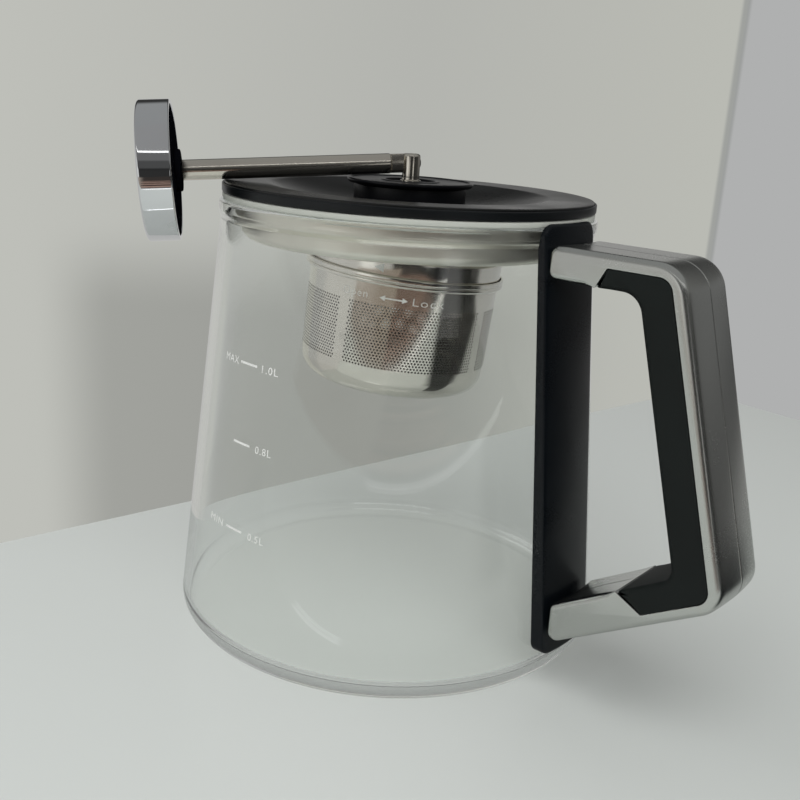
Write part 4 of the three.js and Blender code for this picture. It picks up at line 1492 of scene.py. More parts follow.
@dataclass
class RodAssembly:
    """The folding rod with its chrome knob. Places are counted along the rod from the hinge pin."""

    azimuth: float = -130.3
    slope: float = 4.754
    pin_height: float = 144.3
    radius: float = 3.0
    start: float = 6.2
    end: float = 68.2
    tongue_half: float = 2.8
    tongue_thickness: float = 1.8
    boss_radius: float = 6.1
    boss_depth: float = 1.8
    knob_radius: float = 20.2
    knob_depth: float = 9.4
    knob_wall: float = 1.3
    knob_face: float = 1.4
    knob_bevel: float = 0.9
    insert_depth: float = 2.4
    thread_radius: float = 1.65
    thread_depth: float = 7.6
    hole_radius: float = 1.8

    @property
    def tilt(self) -> Matrix:
        """Gives the frame whose X runs along the rod."""
        turn = Matrix.Rotation(math.radians(self.azimuth), 4, "Z") @ Matrix.Rotation(math.radians(self.slope), 4, "Y")
        return Matrix.Translation((0, 0, self.pin_height)) @ turn

    @property
    def axis(self) -> Matrix:
        """Gives the frame whose Z runs along the rod."""
        return self.tilt @ Matrix.Rotation(math.pi / 2, 4, "Y")

    def metal(self, finish: Metal, name: str) -> Metal:
        """Turns a metal's lines along the rod.

        Args:
            finish: The metal.
            name: Name of the turned one.

        Returns:
            The turned metal.
        """
        centre = tuple(value * MM for value in self.axis.translation)
        return replace(finish, name=name, centre=centre, turn=tuple(self.axis.to_euler("XYZ")))

    def build_rod(self) -> None:
        """Builds the rod and its flat tongue in the stem's slot."""
        steel = self.metal(STEM_STEEL, "rod_steel")
        hole_foot = self.end - self.thread_depth
        bar = fillet(
            [
                (0.0, self.start, 0.0),
                (self.radius - 0.6, self.start, 0.0),
                (self.radius, self.start + 0.6, 0.3),
                (self.radius, self.end, 0.15),
                (self.thread_radius, self.end, 0.0),
                (self.thread_radius, hole_foot, 0.0),
                (0.0, hole_foot, 0.0),
            ],
            5,
        )
        place_piece(lathe("rod_bar", bar, steel, 96, self.axis), Body.ROD, Slot.POLISHED, "rod")
        half = self.tongue_half
        outline = fillet(
            [
                (-half, -half, half * 0.95, 0.15),
                (self.start + 1.4, -half, 0.0, 0.15),
                (self.start + 1.4, half, 0.0, 0.15),
                (-half, half, half * 0.95, 0.15),
            ],
            10,
        )
        side = self.tongue_thickness / 2
        tongue = slab("rod_tongue", outline, Rim(-side, steps=2), Rim(side, steps=2), steel, place=self.tilt)
        place_piece(tongue, Body.ROD, Slot.POLISHED)

    def build_knob(self) -> None:
        """Builds the boss, the black insert and the chrome cap."""
        base, hole = self.end + self.boss_depth, self.hole_radius
        boss = fillet(
            [
                (hole, self.end + 0.1, 0.1),
                (self.boss_radius, self.end + 0.1, 0.5),
                (self.boss_radius, base - 0.1, 0.1),
                (hole, base - 0.1, 0.1),
            ],
            4,
        )
        place_piece(lathe("knob_black_boss", boss, BOSS_BLACK, 96, self.axis), Body.ROD, Slot.BOSS, "knob_boss")
        outer = self.knob_radius - self.knob_wall - 0.15
        insert = fillet(
            [
                (hole, base, 0.1),
                (outer - 1.2, base, 0.3),
                (outer - 0.5, base + 0.25, 0.2),
                (outer, base + 0.25, 0.15),
                (outer, base + self.insert_depth, 0.1),
                (hole, base + self.insert_depth, 0.1),
            ],
            4,
        )
        place_piece(lathe("knob_black_insert", insert, BOSS_BLACK, 128, self.axis), Body.ROD, Slot.BOSS, "knob_insert")
        end, inner = base + self.knob_depth, self.knob_radius - self.knob_wall
        cap = fillet(
            [
                (0.0, end - self.knob_face, 0.0),
                (inner, end - self.knob_face, 0.4),
                (inner, base, 0.3),
                (self.knob_radius, base, 0.5),
                (self.knob_radius, end, self.knob_bevel),
                (self.knob_radius - 4.0, end, 0.0),
                (0.0, end, 0.0),
            ],
            8,
        )
        chrome = self.metal(CHROME, "knob_chrome_axis")
        place_piece(lathe("knob_chrome_cap", cap, chrome, 256, self.axis), Body.ROD, Slot.CHROME, "knob_cap")
        repaint(SCREW_STEEL, "knob_screw")

    def build(self) -> None:
        """Builds the rod and the knob."""
        self.build_rod()
        self.build_knob()


class Perforation:
    """A Geometry Nodes tree that bends a staggered sheet of hexagonal tiles round a cone, some with holes."""

    COUNTS = ("Cells Round", "Rows")
    SIZES = ("Pitch", "Hole Share", "Top", "Radius", "Taper", "Wall", "Strip Middle", "Strip Half")
    MERGE = 0.00002

    def __init__(self, material: bpy.types.Material) -> None:
        """Makes the tree.

        Args:
            material: The sheet's material.
        """
        self.tree = bpy.data.node_groups.new("perforated_sheet", "GeometryNodeTree")
        self.tree.interface.new_socket("Geometry", in_out="OUTPUT", socket_type="NodeSocketGeometry")
        for names, kind in ((self.COUNTS, "NodeSocketInt"), (self.SIZES, "NodeSocketFloat")):
            for name in names:
                self.tree.interface.new_socket(name, in_out="INPUT", socket_type=kind)
        self.graph = Shade(self.tree)
        self.size = self.graph.node("NodeGroupInput")
        self.material = material
        self.grow()

    def position(self) -> NodeOut:
        """Gives the parts of each point's place."""
        place = self.graph.node("GeometryNodeInputPosition")[0]
        return self.graph.node("ShaderNodeSeparateXYZ", {}, {"Vector": place})

    def join(self, *parts: Sock) -> Sock:
        """Joins geometry.

        Args:
            parts: What is joined.

        Returns:
            All of it.
        """
        both = self.graph.node("GeometryNodeJoinGeometry")
        for part in parts:
            self.tree.links.new(part.socket, both.node.inputs[0])
        return both[0]

    def tile(self, holed: bool) -> Sock:
        """Builds one hexagonal tile with its points up and down.

        Args:
            holed: True for a tile with a hole.

        Returns:
            The tile's geometry.
        """
        node, corner = self.graph.node, self.size["Pitch"] / math.sqrt(3)
        circle = node("GeometryNodeMeshCircle", {"fill_type": "NGON"}, {"Vertices": 6, "Radius": corner})[0]
        turned = node("GeometryNodeTransform", {}, {"Geometry": circle, "Rotation": (0.0, 0.0, math.pi / 6)})[0]
        if not holed:
            return turned
        pushed = node("GeometryNodeExtrudeMesh", {"mode": "FACES"}, {"Mesh": turned, "Offset Scale": 0.0})
        inputs = {"Geometry": pushed["Mesh"], "Selection": pushed["Top"], "Scale": self.size["Hole Share"]}
        shrunk = node("GeometryNodeScaleElements", {"domain": "FACE"}, inputs)[0]
        inputs = {"Geometry": shrunk, "Selection": pushed["Top"]}
        return node("GeometryNodeDeleteGeometry", {"domain": "FACE", "mode": "ALL"}, inputs)[0]

    def grow(self) -> None:
        """Builds the whole tree."""
        node, size = self.graph.node, self.size
        pitch, cells, rows = size["Pitch"], size["Cells Round"], size["Rows"]
        tall = (rows - 1.0) * (pitch * (math.sqrt(3) / 2))
        inputs = {"Size X": (cells - 1.0) * pitch, "Size Y": tall, "Vertices X": cells, "Vertices Y": rows}
        grid = node("GeometryNodeMeshGrid", {}, inputs)["Mesh"]
        row = node("GeometryNodeInputIndex")[0].math("MODULO", rows)
        offset = node("ShaderNodeCombineXYZ", {}, {"X": row.math("MODULO", 2.0) * (pitch * 0.5)})[0]
        staggered = node("GeometryNodeSetPosition", {}, {"Geometry": grid, "Offset": offset})[0]
        round_length = cells * pitch
        quarter = self.position()["X"] / round_length * 4.0 - size["Strip Middle"]
        from_strip = 0.5 - (quarter.math("FRACT") - 0.5).math("ABSOLUTE")
        inputs = {0: from_strip, 1: size["Strip Half"]}
        holed = node("FunctionNodeCompare", {"operation": "GREATER_THAN"}, inputs)[0]
        plain = node("FunctionNodeBooleanMath", {"operation": "NOT"}, {0: holed})[0]
        sheets = []
        for choice, with_hole in ((holed, True), (plain, False)):
            inputs = {"Points": staggered, "Selection": choice, "Instance": self.tile(with_hole)}
            sheets.append(node("GeometryNodeInstanceOnPoints", {}, inputs)[0])
        flat = node("GeometryNodeRealizeInstances", {}, {"Geometry": self.join(*sheets)})[0]
        self.bend(flat, round_length, tall)

    def bend(self, flat: Sock, round_length: Sock, tall: Sock) -> None:
        """Bends the flat sheet round the cone and gives it a wall.

        Args:
            flat: The flat sheet.
            round_length: Its length round the cone.
            tall: Height between its first and last row.
        """
        node, size, place = self.graph.node, self.size, self.position()
        angle = place["X"] / round_length * (2 * math.pi)
        height = place["Y"] + (size["Top"] - tall * 0.5)
        radius = size["Radius"] + height * size["Taper"]
        inputs = {"X": radius * angle.math("COSINE"), "Y": radius * angle.math("SINE"), "Z": height}
        bent = node("ShaderNodeCombineXYZ", {}, inputs)[0]
        sheet = node("GeometryNodeSetPosition", {}, {"Geometry": flat, "Position": bent})[0]
        merged = node("GeometryNodeMergeByDistance", {}, {"Geometry": sheet, "Distance": self.MERGE})[0]
        inputs = {"Mesh": merged, "Offset Scale": size["Wall"] * -1.0, "Individual": False}
        pushed = node("GeometryNodeExtrudeMesh", {"mode": "FACES"}, inputs)["Mesh"]
        inputs = {"Geometry": self.join(pushed, merged), "Distance": self.MERGE}
        closed = node("GeometryNodeMergeByDistance", {}, inputs)[0]
        real = node("GeometryNodeRealizeInstances", {}, {"Geometry": closed})[0]
        painted = node("GeometryNodeSetMaterial", {}, {"Geometry": real, "Material": self.material})[0]
        node("NodeGroupOutput", {}, {0: painted})

    def mesh(self, name: str, **sizes: float) -> bpy.types.Mesh:
        """Runs the tree.

        Args:
            name: Name of the mesh.
            sizes: Values of the named inputs, with _ for a space.

        Returns:
            The plain mesh.
        """
        holder = bpy.data.objects.new(name, bpy.data.meshes.new(name + "_seed"))
        bpy.context.scene.collection.objects.link(holder)
        modifier = holder.modifiers.new("perforation", "NODES")
        modifier.node_group = self.tree
        for item in self.tree.interface.items_tree:
            key = item.name.replace(" ", "_").lower()
            if item.in_out == "INPUT" and key in sizes:
                modifier[item.identifier] = sizes[key]
        bpy.context.view_layer.update()
        made = bpy.data.meshes.new_from_object(holder.evaluated_get(bpy.context.evaluated_depsgraph_get()))
        holder.modifiers.clear()
        bpy.data.objects.remove(holder)
        return made


@dataclass
class InfuserAssembly:
    """The infuser head and the strainer basket that twists onto it. Heights are counted from the pivot."""

    collar_radius: float = 29.6
    collar_top: float = 7.3
    collar_foot: float = 0.9
    collar_wall: float = 0.7
    collar_hole: float = 4.0
    seal_inner: float = 28.1
    seal_outer: float = 29.7
    seal_foot: float = -0.1
    seal_top: float = 0.8
    rim_radius: float = 30.75
    rim_top: float = 2.0
    rim_foot: float = -0.9
    rim_wall: float = 0.75
    shell_top_radius: float = 29.3
    shell_foot_radius: float = 28.9
    shell_wall: float = 0.6
    shell_top: float = -1.0
    shell_foot: float = -34.7
    shell_corner: float = 6.5
    cells: int = 184
    rows: int = 22
    holes_top: float = -7.1
    hole_share: float = 0.54
    strip_azimuth: float = 6.0
    strip_half: float = 3.7
    lug_level: float = -2.9
    lug_height: float = 1.4
    lug_reach: float = 2.1
    lug_half: float = 3.0
    lug_drop: float = 0.25
    arrow: tuple[Point, ...] = ((-4.1, 0.0), (-2.5, 0.8), (-2.5, -0.8))

    @property
    def place(self) -> Matrix:
        """Gives the leaning frame of the head and basket."""
        return Matrix.Translation(PIVOT) @ LEAN

    def wall(self, height: float) -> float:
        """Gives the basket's outer radius at a height."""
        share = (self.shell_top - height) / (self.shell_top - self.shell_foot)
        return self.shell_top_radius + (self.shell_foot_radius - self.shell_top_radius) * share

    def build_head(self) -> None:
        """Builds the collar, the seal and the mark on the collar."""
        inner = self.collar_radius - self.collar_wall
        profile = fillet(
            [
                (self.collar_hole, self.collar_top - self.collar_wall, 0.1),
                (inner, self.collar_top - self.collar_wall, 0.5),
                (inner, self.collar_foot, 0.1),
                (self.collar_radius, self.collar_foot, 0.2),
                (self.collar_radius, self.collar_top, 1.2),
                (self.collar_hole, self.collar_top, 0.2),
            ],
            7,
        )
        collar = lathe("head_steel_collar", profile, COLLAR_STEEL, 224, self.place)
        place_piece(collar, Body.HEAD, Slot.POLISHED, "head_collar")
        triangle = [(-1.4, 0.0), (1.4, -1.25), (1.4, 1.25)]
        mark = Mark(lambda _: self.collar_radius, -64.9, 4.05, 0.05).patch(triangle)
        place_piece(make_piece("collar_mark", *mark, WHITE_INK, self.place), Body.HEAD, Slot.POLISHED)
        inner, outer, foot, top = self.seal_inner, self.seal_outer, self.seal_foot, self.seal_top
        seal = fillet([(inner, foot, 0.2), (outer, foot, 0.3), (outer, top, 0.3), (inner, top, 0.2)], 4)
        place_piece(lathe("basket_ring_seal", seal, SEAL, 192, self.place), Body.SEAL, Slot.SILICONE, "basket_seal")
        repaint(BUSH_BLACK, "head_core")
        repaint(SCREW_STEEL, "foot_retainer")

    def build_rim(self) -> None:
        """Builds the basket's rim with its beads."""
        inner, ledge = self.rim_radius - self.rim_wall, self.shell_top_radius - self.shell_wall
        profile = fillet(
            [
                (ledge, self.rim_foot, 0.1),
                (self.rim_radius - 0.5, self.rim_foot, 0.3),
                (self.rim_radius, self.rim_foot + 0.45, 0.35),
                (self.rim_radius, self.rim_foot + 1.1, 0.3),
                (self.rim_radius - 0.3, self.rim_foot + 1.35, 0.2),
                (self.rim_radius, self.rim_foot + 1.6, 0.3),
                (self.rim_radius, self.rim_top, 0.37),
                (inner, self.rim_top, 0.3),
                (inner, self.rim_foot + 0.6, 0.1),
                (ledge, self.rim_foot + 0.6, 0.1),
            ],
            5,
        )
        rim = lathe("basket_steel_rim", profile, COLLAR_STEEL, 224, self.place)
        place_piece(rim, Body.BASKET, Slot.POLISHED, "basket_rim")

    def band_edges(self) -> tuple[float, float, float]:
        """Gives the heights of the band's first and last row, and its pitch."""
        pitch = 2 * math.pi * self.wall(self.holes_top - 9.0) / self.cells
        return self.holes_top, self.holes_top - (self.rows - 1) * pitch * math.sqrt(3) / 2, pitch

    def plain_walls(self) -> Shape:
        """Builds the plain wall above the holes and the cup below them, with edges that fit the tiles.

        Returns:
            Points and faces.
        """
        top_row, last_row, pitch = self.band_edges()
        steps = 2 * self.cells
        peak, valley = pitch / math.sqrt(3), pitch / math.sqrt(3) / 2
        wall, corner, foot_radius = self.shell_wall, self.shell_corner, self.shell_foot_radius

        def edge(sign: int, inset: float) -> list[Point3]:
            """Gives the toothed ring beside the first row of tiles, or beside the last one.

            Args:
                sign: 1 for the first row, -1 for the last.
                inset: How far the ring lies inside the outer face.

            Returns:
                Its points.
            """
            base, odd = (top_row, 0) if sign > 0 else (last_row, (self.rows - 1) % 2)
            heights = [base + sign * (valley if (step + odd) % 2 else peak) for step in range(steps)]
            turns = [2 * math.pi * step / steps for step in range(steps)]
            return [polar(self.wall(height) - inset, turn, height) for height, turn in zip(heights, turns)]

        cup = fillet(
            [(foot_radius, last_row - 3, 0.0), (foot_radius, self.shell_foot, corner), (0.0, self.shell_foot, 0.0)], 12
        )[1:]
        liner = fillet(
            [
                (0.0, self.shell_foot + wall, 0.0),
                (foot_radius - wall, self.shell_foot + wall, corner - wall),
                (foot_radius - wall, last_row - 3, 0.0),
            ],
            12,
        )[:-1]
        outer = [(self.wall(height), height) for height in (-4.0, self.shell_top)]
        upper = [edge(1, 0.0), *outer, *((radius - wall, height) for radius, height in reversed(outer)), edge(1, wall)]
        lower = [edge(-1, 0.0), *cup, *liner, edge(-1, wall)]
        return joined([stacked(rows, steps, False) for rows in (upper, lower)])

    def lugs(self) -> Shape:
        """Builds the three lugs inside the basket's mouth.

        Returns:
            Points and faces.
        """
        parts = []
        steps = 6
        outer = self.shell_top_radius - self.shell_wall / 2
        section = [(outer - self.lug_reach, -0.5), (outer, -0.5), (outer, 0.5), (outer - self.lug_reach, 0.5)]
        for middle in (LEAN_AZIMUTH + 120 * number for number in range(3)):
            points = []
            for n in range(steps + 1):
                degrees = middle - self.lug_half + 2 * self.lug_half * n / steps
                level = self.lug_level - self.lug_drop * (degrees - middle)
                points += [polar(reach, math.radians(degrees), level + up * self.lug_height) for reach, up in section]
            parts.append((points, tube_faces(len(section), len(points))))
        return joined(parts)

    def build_shell(self) -> None:
        """Builds the perforated basket."""
        top_row, last_row, pitch = self.band_edges()
        slope = (self.shell_top_radius - self.shell_foot_radius) / (self.shell_top - self.shell_foot)
        flat = self.wall(0.0)
        strip = (self.strip_azimuth / 360 * 4) % 1
        tree = Perforation(BASKET_STEEL.material())
        band = tree.mesh(
            "perforated_band",
            cells_round=self.cells,
            rows=self.rows,
            pitch=pitch * MM,
            hole_share=self.hole_share,
            top=top_row * MM,
            radius=flat * MM,
            taper=slope,
            wall=self.shell_wall * MM,
            strip_middle=strip,
            strip_half=self.strip_half / 90,
        )
        band.transform(Matrix.Scale(1 / MM, 4))
        shape = bmesh.new()
        shape.from_mesh(band)
        inner = [vertex for vertex in shape.verts if len(vertex.link_faces) == 0]
        bmesh.ops.delete(shape, geom=inner, context="VERTS")
        shape.to_mesh(band)
        shape.free()
        band_points = [tuple(vertex.co) for vertex in band.vertices]
        band_faces = [list(polygon.vertices) for polygon in band.polygons]
        bpy.data.meshes.remove(band)
        parts = joined([(band_points, band_faces), self.plain_walls(), self.lugs()])
        shell = make_piece("basket_perforated_shell", *parts, BASKET_STEEL, self.place, merge=0.03)
        place_piece(shell, Body.BASKET, Slot.BRUSHED, "basket_shell")

    def build_marks(self) -> None:
        """Builds the words and the arrow under the rim."""
        level = -4.5
        parts = [
            Mark(self.wall, -77.6, level + 0.3, 0.02).text("Open", 2.2, 8.0, -0.012),
            Mark(self.wall, -34.4, level, 0.02).text("Lock", 2.2, 9.4, -0.012),
        ]
        arrow = Mark(self.wall, -54.5, level, 0.02)
        parts.append(arrow.bar(3.0, 0.19))
        parts += [arrow.patch([(side * x, y) for x, y in self.arrow]) for side in (1, -1)]
        words = make_piece("basket_marks", *joined(parts), ETCHED, self.place)
        place_piece(words, Body.BASKET, Slot.BRUSHED)

    def build(self) -> None:
        """Builds the head and the basket."""
        self.build_head()
        self.build_rim()
        self.build_shell()
        self.build_marks()


@dataclass
class Studio:
    """The camera, floor, backdrop and lamps."""

    azimuth: float = -50.0
    eye: Point3 = (197.56, -235.44, 160.40)
    right: Point3 = (0.75522, 0.65269, 0.06033)
    up: Point3 = (-0.23013, 0.17784, 0.95677)
    lens: float = 44.435
    floor_corner: Point = (-47.2, 346.4)
    floor_left: Point = (-120.1, -75.5)
    floor_right: Point = (23.2, 336.5)
    reach: float = 1400.0
    floor_colour: Colour = linear(203, 207, 204)
    table_front: float = 305.0
    table_right: Point = (135.0, -5.0)
    table_right_far: Point = (250.0, 427.0)
    # Painted shade in reflections close to the jug: its reach and strength.
    near_shade_reach: float = 95.0
    near_shade_share: float = 0.2
    line_reach: float = 102.0
    unlit: Colour = (0.012, 0.013, 0.014)
    unlit_far: Colour = (0.24, 0.235, 0.22)
    stripe_light: Colour = (0.36, 0.245, 0.2)
    stripe_dark: Colour = (0.03, 0.018, 0.016)
    stripe_pitch: float = 90.0
    front_far: Colour = (0.045, 0.038, 0.034)
    left_far: Colour = (0.33, 0.28, 0.24)
    ceiling: Colour = (0.31, 0.315, 0.315)
    rim_light: Colour = (1.5, 1.5, 1.5)
    line_light: Colour = (2.2, 2.22, 2.24)
    strip_light: Colour = (2.3, 2.3, 2.27)
    strip_rise: float = 33.5
    soft_light: Colour = (0.46, 0.46, 0.455)
    corner_azimuth: float = 113.0
    wall_shadow: float = 0.29
    # Painted shade along the corner where the two backdrop walls meet.
    corner_shade_colour: Colour = linear(150, 152, 150)
    right_wall: Colour = linear(175, 176, 176)
    wall_stops: tuple[tuple[float, Colour], ...] = (
        (-180.0, linear(182, 183, 178)),
        (100.0, linear(186, 187, 180)),
        (113.3, linear(185, 186, 179)),
        (130.0, linear(179, 180, 175)),
        (152.0, linear(190, 191, 185)),
        (180.0, linear(188, 189, 184)),
    )
    low_stops: tuple[tuple[float, float], ...] = (
        (-180.0, 0.5), (-108.0, 0.58), (-100.0, 0.95), (-90.0, 0.95), (-82.0, 0.55), (-67.0, 0.5), (-63.0, 0.035),
        (-31.0, 0.03), (-27.0, 0.9), (-19.0, 0.9), (-15.0, 0.024), (44.0, 0.06), (60.0, 0.36), (112.0, 0.5),
        (180.0, 0.56),
    )
    high_stops: tuple[tuple[float, float], ...] = (
        (-180.0, 0.2), (-150.0, 0.33), (-60.0, 0.31), (0.0, 0.25), (60.0, 0.17), (100.0, 0.04), (165.0, 0.04),
        (180.0, 0.2),
    )

    def build_camera(self) -> None:
        """Builds the camera at the photograph's place."""
        data = bpy.data.cameras.new("view")
        data.lens = self.lens
        data.sensor_width = 36.0
        data.clip_start, data.clip_end = 0.01, 10.0
        camera = bpy.data.objects.new("view", data)
        bpy.context.scene.collection.objects.link(camera)
        right, up = Vector(self.right).normalized(), Vector(self.up)
        up = (up - right * up.dot(right)).normalized()
        back = right.cross(up)
        turn = Matrix((right, up, back)).transposed().to_4x4()
        camera.matrix_world = Matrix.Translation(Vector(self.eye) * MM) @ turn
        bpy.context.scene.camera = camera

    def off_table(self, shade: Shade, place: Sock) -> tuple[Sock, Sock]:
        """Paints what gloss sees off the lit table: painted dark surroundings, stripes, and painted highlights along a
        rim and a line.

        Args:
            shade: The floor's tree.
            place: Its Object coordinates.

        Returns:
            How much of it is seen, and its colour.
        """
        parts = shade.node("ShaderNodeSeparateXYZ", {}, {"Vector": place})
        x, y = parts["X"], parts["Y"]
        view = math.radians(self.azimuth)
        along = x * math.cos(view) + y * math.sin(view)
        across = y * math.cos(view) - x * math.sin(view)
        middle = across.ramp(-0.1, -0.06)
        from_edge = along + middle * 0.01 - (self.table_front + 10) * MM
        front = from_edge.ramp(0.025, 0.04)
        rim = (1.0 - (from_edge - 0.015).math("ABSOLUTE").ramp(0.006, 0.012)) * middle
        near, far = Vector(self.table_right), Vector(self.table_right_far)
        edge = (far - near).normalized()
        past = (x - near.x * MM) * edge.y - (y - near.y * MM) * edge.x
        side = past.ramp(0.0, 0.03) * y.ramp(-0.05, 0.0)
        # Painted shade: the mirrored floor is darkened close to the jug.
        reach = self.near_shade_reach * MM
        near_shade = (1.0 - along.ramp(reach, reach + 0.006)) * self.near_shade_share
        line = (1.0 - (along - self.line_reach * MM).math("ABSOLUTE").ramp(0.001, 0.002)) * (
            1.0 - (across + 0.05).math("ABSOLUTE").ramp(0.02, 0.03)
        )
        distance = (x * x + y * y).math("SQRT")
        right = shade.mix(distance.ramp(0.6, 1.3), self.unlit, self.unlit_far)
        wave = (along * (2 * math.pi / (self.stripe_pitch * MM))).math("SINE") * 0.5 + 0.5
        stripes = shade.mix(wave.ramp(0.2, 0.8), self.stripe_dark, self.stripe_light)
        ahead = shade.mix(along.ramp(0.6, 0.75), stripes, self.front_far)
        ahead = shade.mix(across.ramp(0.2, 0.3), shade.mix(middle, self.left_far, ahead), self.unlit)
        dark = shade.mix(side, shade.mix(front, self.unlit, ahead), right)
        share = near_shade.math("MAXIMUM", front).math("MAXIMUM", side).math("MAXIMUM", line).math("MAXIMUM", rim)
        return share, shade.mix(rim, shade.mix(line, dark, self.line_light), self.rim_light)

    def straight(self, path: NodeOut) -> Sock:
        """Finds the rays that came through glass without any reflection."""
        return path["Is Transmission Ray"] * (path["Ray Depth"] - path["Transmission Depth"]).math("LESS_THAN", 0.5)

    def build_floor(self) -> None:
        """Builds the floor, which ends where the photograph's wall begins, and which shows painted reflections to
        glossy rays.
        """
        corner, left, right = (Vector(point) for point in (self.floor_corner, self.floor_left, self.floor_right))
        far_left = corner + (left - corner).normalized() * self.reach
        far_right = corner + (right - corner).normalized() * self.reach
        beyond = self.reach * 1.5
        outline = [
            corner, far_left, Vector((far_left.x + self.reach, far_left.y)), Vector((beyond, far_left.y)),
            Vector((beyond, far_right.y)), far_right,
        ]
        mesh = bpy.data.meshes.new("floor")
        points = [(point.x * MM, point.y * MM, -0.00005) for point in outline]
        mesh.from_pydata(points, [], [list(range(len(outline)))])
        floor = bpy.data.objects.new("floor", mesh)
        bpy.context.scene.collection.objects.link(floor)
        material = bpy.data.materials.new("floor_pale")
        material.use_nodes = True
        shade = Shade(material.node_tree)
        place = shade.node("ShaderNodeTexCoord")["Object"]
        cloud = shade.noise(place, 3.0, 2.0)
        dull = tuple(channel * 0.97 for channel in self.floor_colour)
        colour = shade.mix(cloud, dull, self.floor_colour)
        inputs = {"Base Color": colour, "Roughness": 0.35, "Specular IOR Level": 0.25}
        main = shade.node("ShaderNodeBsdfPrincipled", {}, inputs)
        # Painted reflections: glossy rays see the floor glow with painted surroundings instead of the lit floor, though
        # it is no lamp.
        share, elsewhere = self.off_table(shade, place)
        dark = shade.node("ShaderNodeEmission", {}, {"Color": elsewhere, "Strength": 1.0})
        path = shade.node("ShaderNodeLightPath")
        mirrored = path["Is Glossy Ray"] * (1.0 - self.straight(path)) * share
        both = shade.node("ShaderNodeMixShader", {}, {0: mirrored, 1: main["BSDF"], 2: dark["Emission"]})
        shade.node("ShaderNodeOutputMaterial", {}, {"Surface": both["Shader"]})
        mesh.materials.append(material)

    def round_ramp(self, shade: Shade, turn: Sock, stops: Sequence[tuple[float, Colour]]) -> Sock:
        """Gives a colour that changes with the azimuth.

        Args:
            shade: The world's tree.
            turn: The azimuth, from 0 at -180 degrees to 1 at 180.
            stops: Azimuths in degrees and colours.

        Returns:
            The colour.
        """
        placed = [((degrees + 180.0) / 360.0, colour) for degrees, colour in stops]
        return shade.node("ShaderNodeValToRGB", {"stops": placed}, {"Fac": turn})["Color"]

    def build_world(self) -> None:
        """Builds the backdrop that the camera sees, and the surroundings that metal and gloss mirror."""
        world = bpy.data.worlds.new("surroundings")
        bpy.context.scene.world = world
        world.use_nodes = True
        shade = Shade(world.node_tree)
        parts = shade.node("ShaderNodeSeparateXYZ", {}, {"Vector": shade.node("ShaderNodeTexCoord")["Generated"]})
        x, y, z = parts["X"], parts["Y"], parts["Z"]
        azimuth = y.math("ARCTAN2", x) * (180 / math.pi)
        turn = azimuth / 360.0 + 0.5
        rise = z.math("ARCSINE") * (180 / math.pi)
        low, high = (
            self.round_ramp(shade, turn, [(degrees, (value, value * 0.995, value * 0.975)) for degrees, value in stops])
            for stops in (self.low_stops, self.high_stops)
        )
        side = 1.0 - (azimuth - 75.0).math("ABSOLUTE").ramp(20.0, 34.0)
        above = shade.mix(side * rise.ramp(-10.0, -6.0), low, rise.ramp(-9.0, 4.0, 0.02, 0.19))
        front = 1.0 - (azimuth + 45.0).math("ABSOLUTE").ramp(30.0, 60.0)
        strip = (1.0 - (rise - self.strip_rise).math("ABSOLUTE").ramp(0.7, 1.6)) * front
        sky = shade.mix(rise.ramp(30.0, 45.0), shade.mix(rise.ramp(11.0, 17.0), above, high), self.ceiling)
        grey = rise.ramp(6.0, 9.0, 0.024, 0.08) + rise.ramp(18.0, 21.0, 0.0, 0.075) + rise.ramp(32.0, 35.0, 0.0, 0.155)
        sky = shade.mix(front * rise.ramp(3.0, 7.0), sky, grey)
        reflected = shade.mix(strip, sky, self.strip_light)
        path = shade.node("ShaderNodeLightPath")
        behind = (x * math.cos(math.radians(125.0)) + y * math.sin(math.radians(125.0))).ramp(0.1, 0.3)
        sides = (azimuth + 45.0).math("ABSOLUTE").ramp(50.0, 75.0)
        through = (path["Is Transmission Ray"] * behind).math("MAXIMUM", self.straight(path) * sides)
        seen = path["Is Camera Ray"].math("MAXIMUM", through)
        left_wall = self.round_ramp(shade, turn, self.wall_stops)
        walls = shade.mix(azimuth.ramp(self.corner_azimuth - 0.1, self.corner_azimuth), self.right_wall, left_wall)
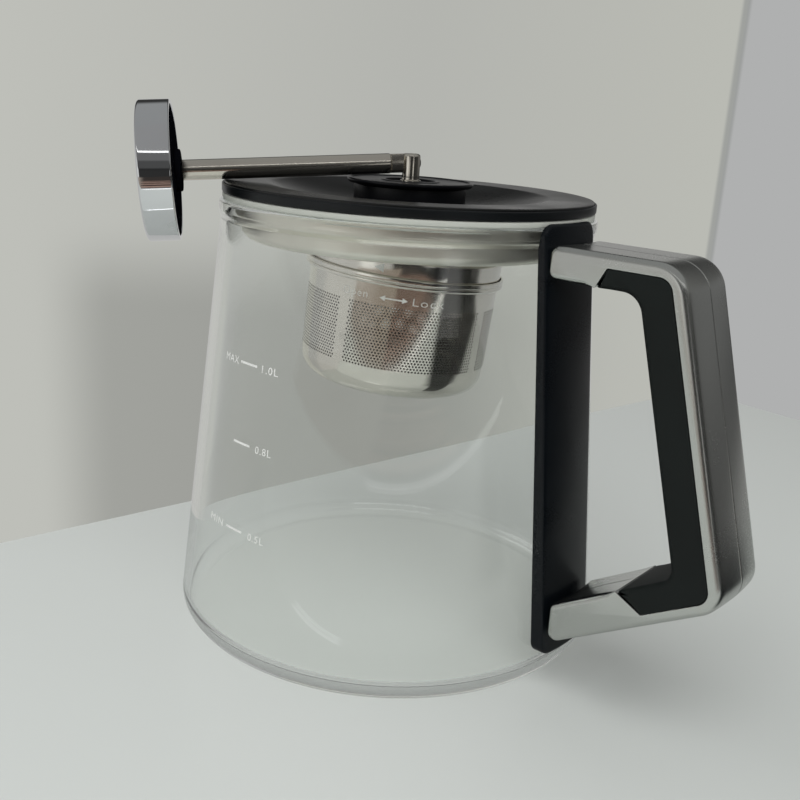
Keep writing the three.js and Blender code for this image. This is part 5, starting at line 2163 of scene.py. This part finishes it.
        shadow = azimuth.ramp(116.0, 130.0) * azimuth.ramp(146.5, 151.0, 1.0, 0.0) * rise.ramp(-12.0, -6.5, 1.0, 0.0)
        walls = shade.mix(shadow * self.wall_shadow, walls, (0.0, 0.0, 0.0))
        # Painted shade: a darker line along the corner of the two backdrop walls.
        corner_shade = 1.0 - (azimuth - self.corner_azimuth).math("ABSOLUTE").ramp(0.08, 0.3)
        shown = shade.mix(seen, reflected, shade.mix(corner_shade * 0.8, walls, self.corner_shade_colour))
        soft = shade.mix(path["Is Diffuse Ray"], shown, self.soft_light)
        light = shade.node("ShaderNodeBackground", {}, {"Color": soft, "Strength": 1.0})
        shade.node("ShaderNodeOutputWorld", {}, {"Surface": light["Background"]})

    def lamp(self, name: str, azimuth: float, elevation: float, distance: float, size: float, power: float) -> None:
        """Adds a soft square lamp that looks at the jug.

        Args:
            name: The lamp's name.
            azimuth: Where it stands, in degrees.
            elevation: How high, in degrees.
            distance: How far from the jug, in metres.
            size: Length of its side in metres.
            power: Its power in watts.
        """
        data = bpy.data.lights.new(name, "AREA")
        data.shape = "SQUARE"
        data.size = size
        data.energy = power
        lamp = bpy.data.objects.new(name, data)
        lamp.visible_glossy = False
        bpy.context.scene.collection.objects.link(lamp)
        flat = math.cos(math.radians(elevation))
        away = Vector((
            math.cos(math.radians(azimuth)) * flat, math.sin(math.radians(azimuth)) * flat,
            math.sin(math.radians(elevation)),
        ))
        lamp.location = Vector((0, 0, 0.08)) + away * distance
        lamp.rotation_euler = away.to_track_quat("Z", "Y").to_euler()

    def build(self) -> None:
        """Builds the studio."""
        self.build_camera()
        self.build_floor()
        self.build_world()
        self.lamp("key", self.azimuth, 50.0, 0.85, 0.8, 4.9)
        self.lamp("left", -168.0, 40.0, 1.1, 0.6, 3.3)
        bpy.context.scene.view_settings.view_transform = "Standard"


def main() -> None:
    """Builds the studio and every sub-assembly."""
    logging.basicConfig(level=logging.INFO, format="%(message)s")
    Studio().build()
    for assembly in (JugAssembly(), LidAssembly(), StemAssembly(), RodAssembly(), InfuserAssembly()):
        assembly.build()
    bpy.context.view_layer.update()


if __name__ == "__main__":
    main()
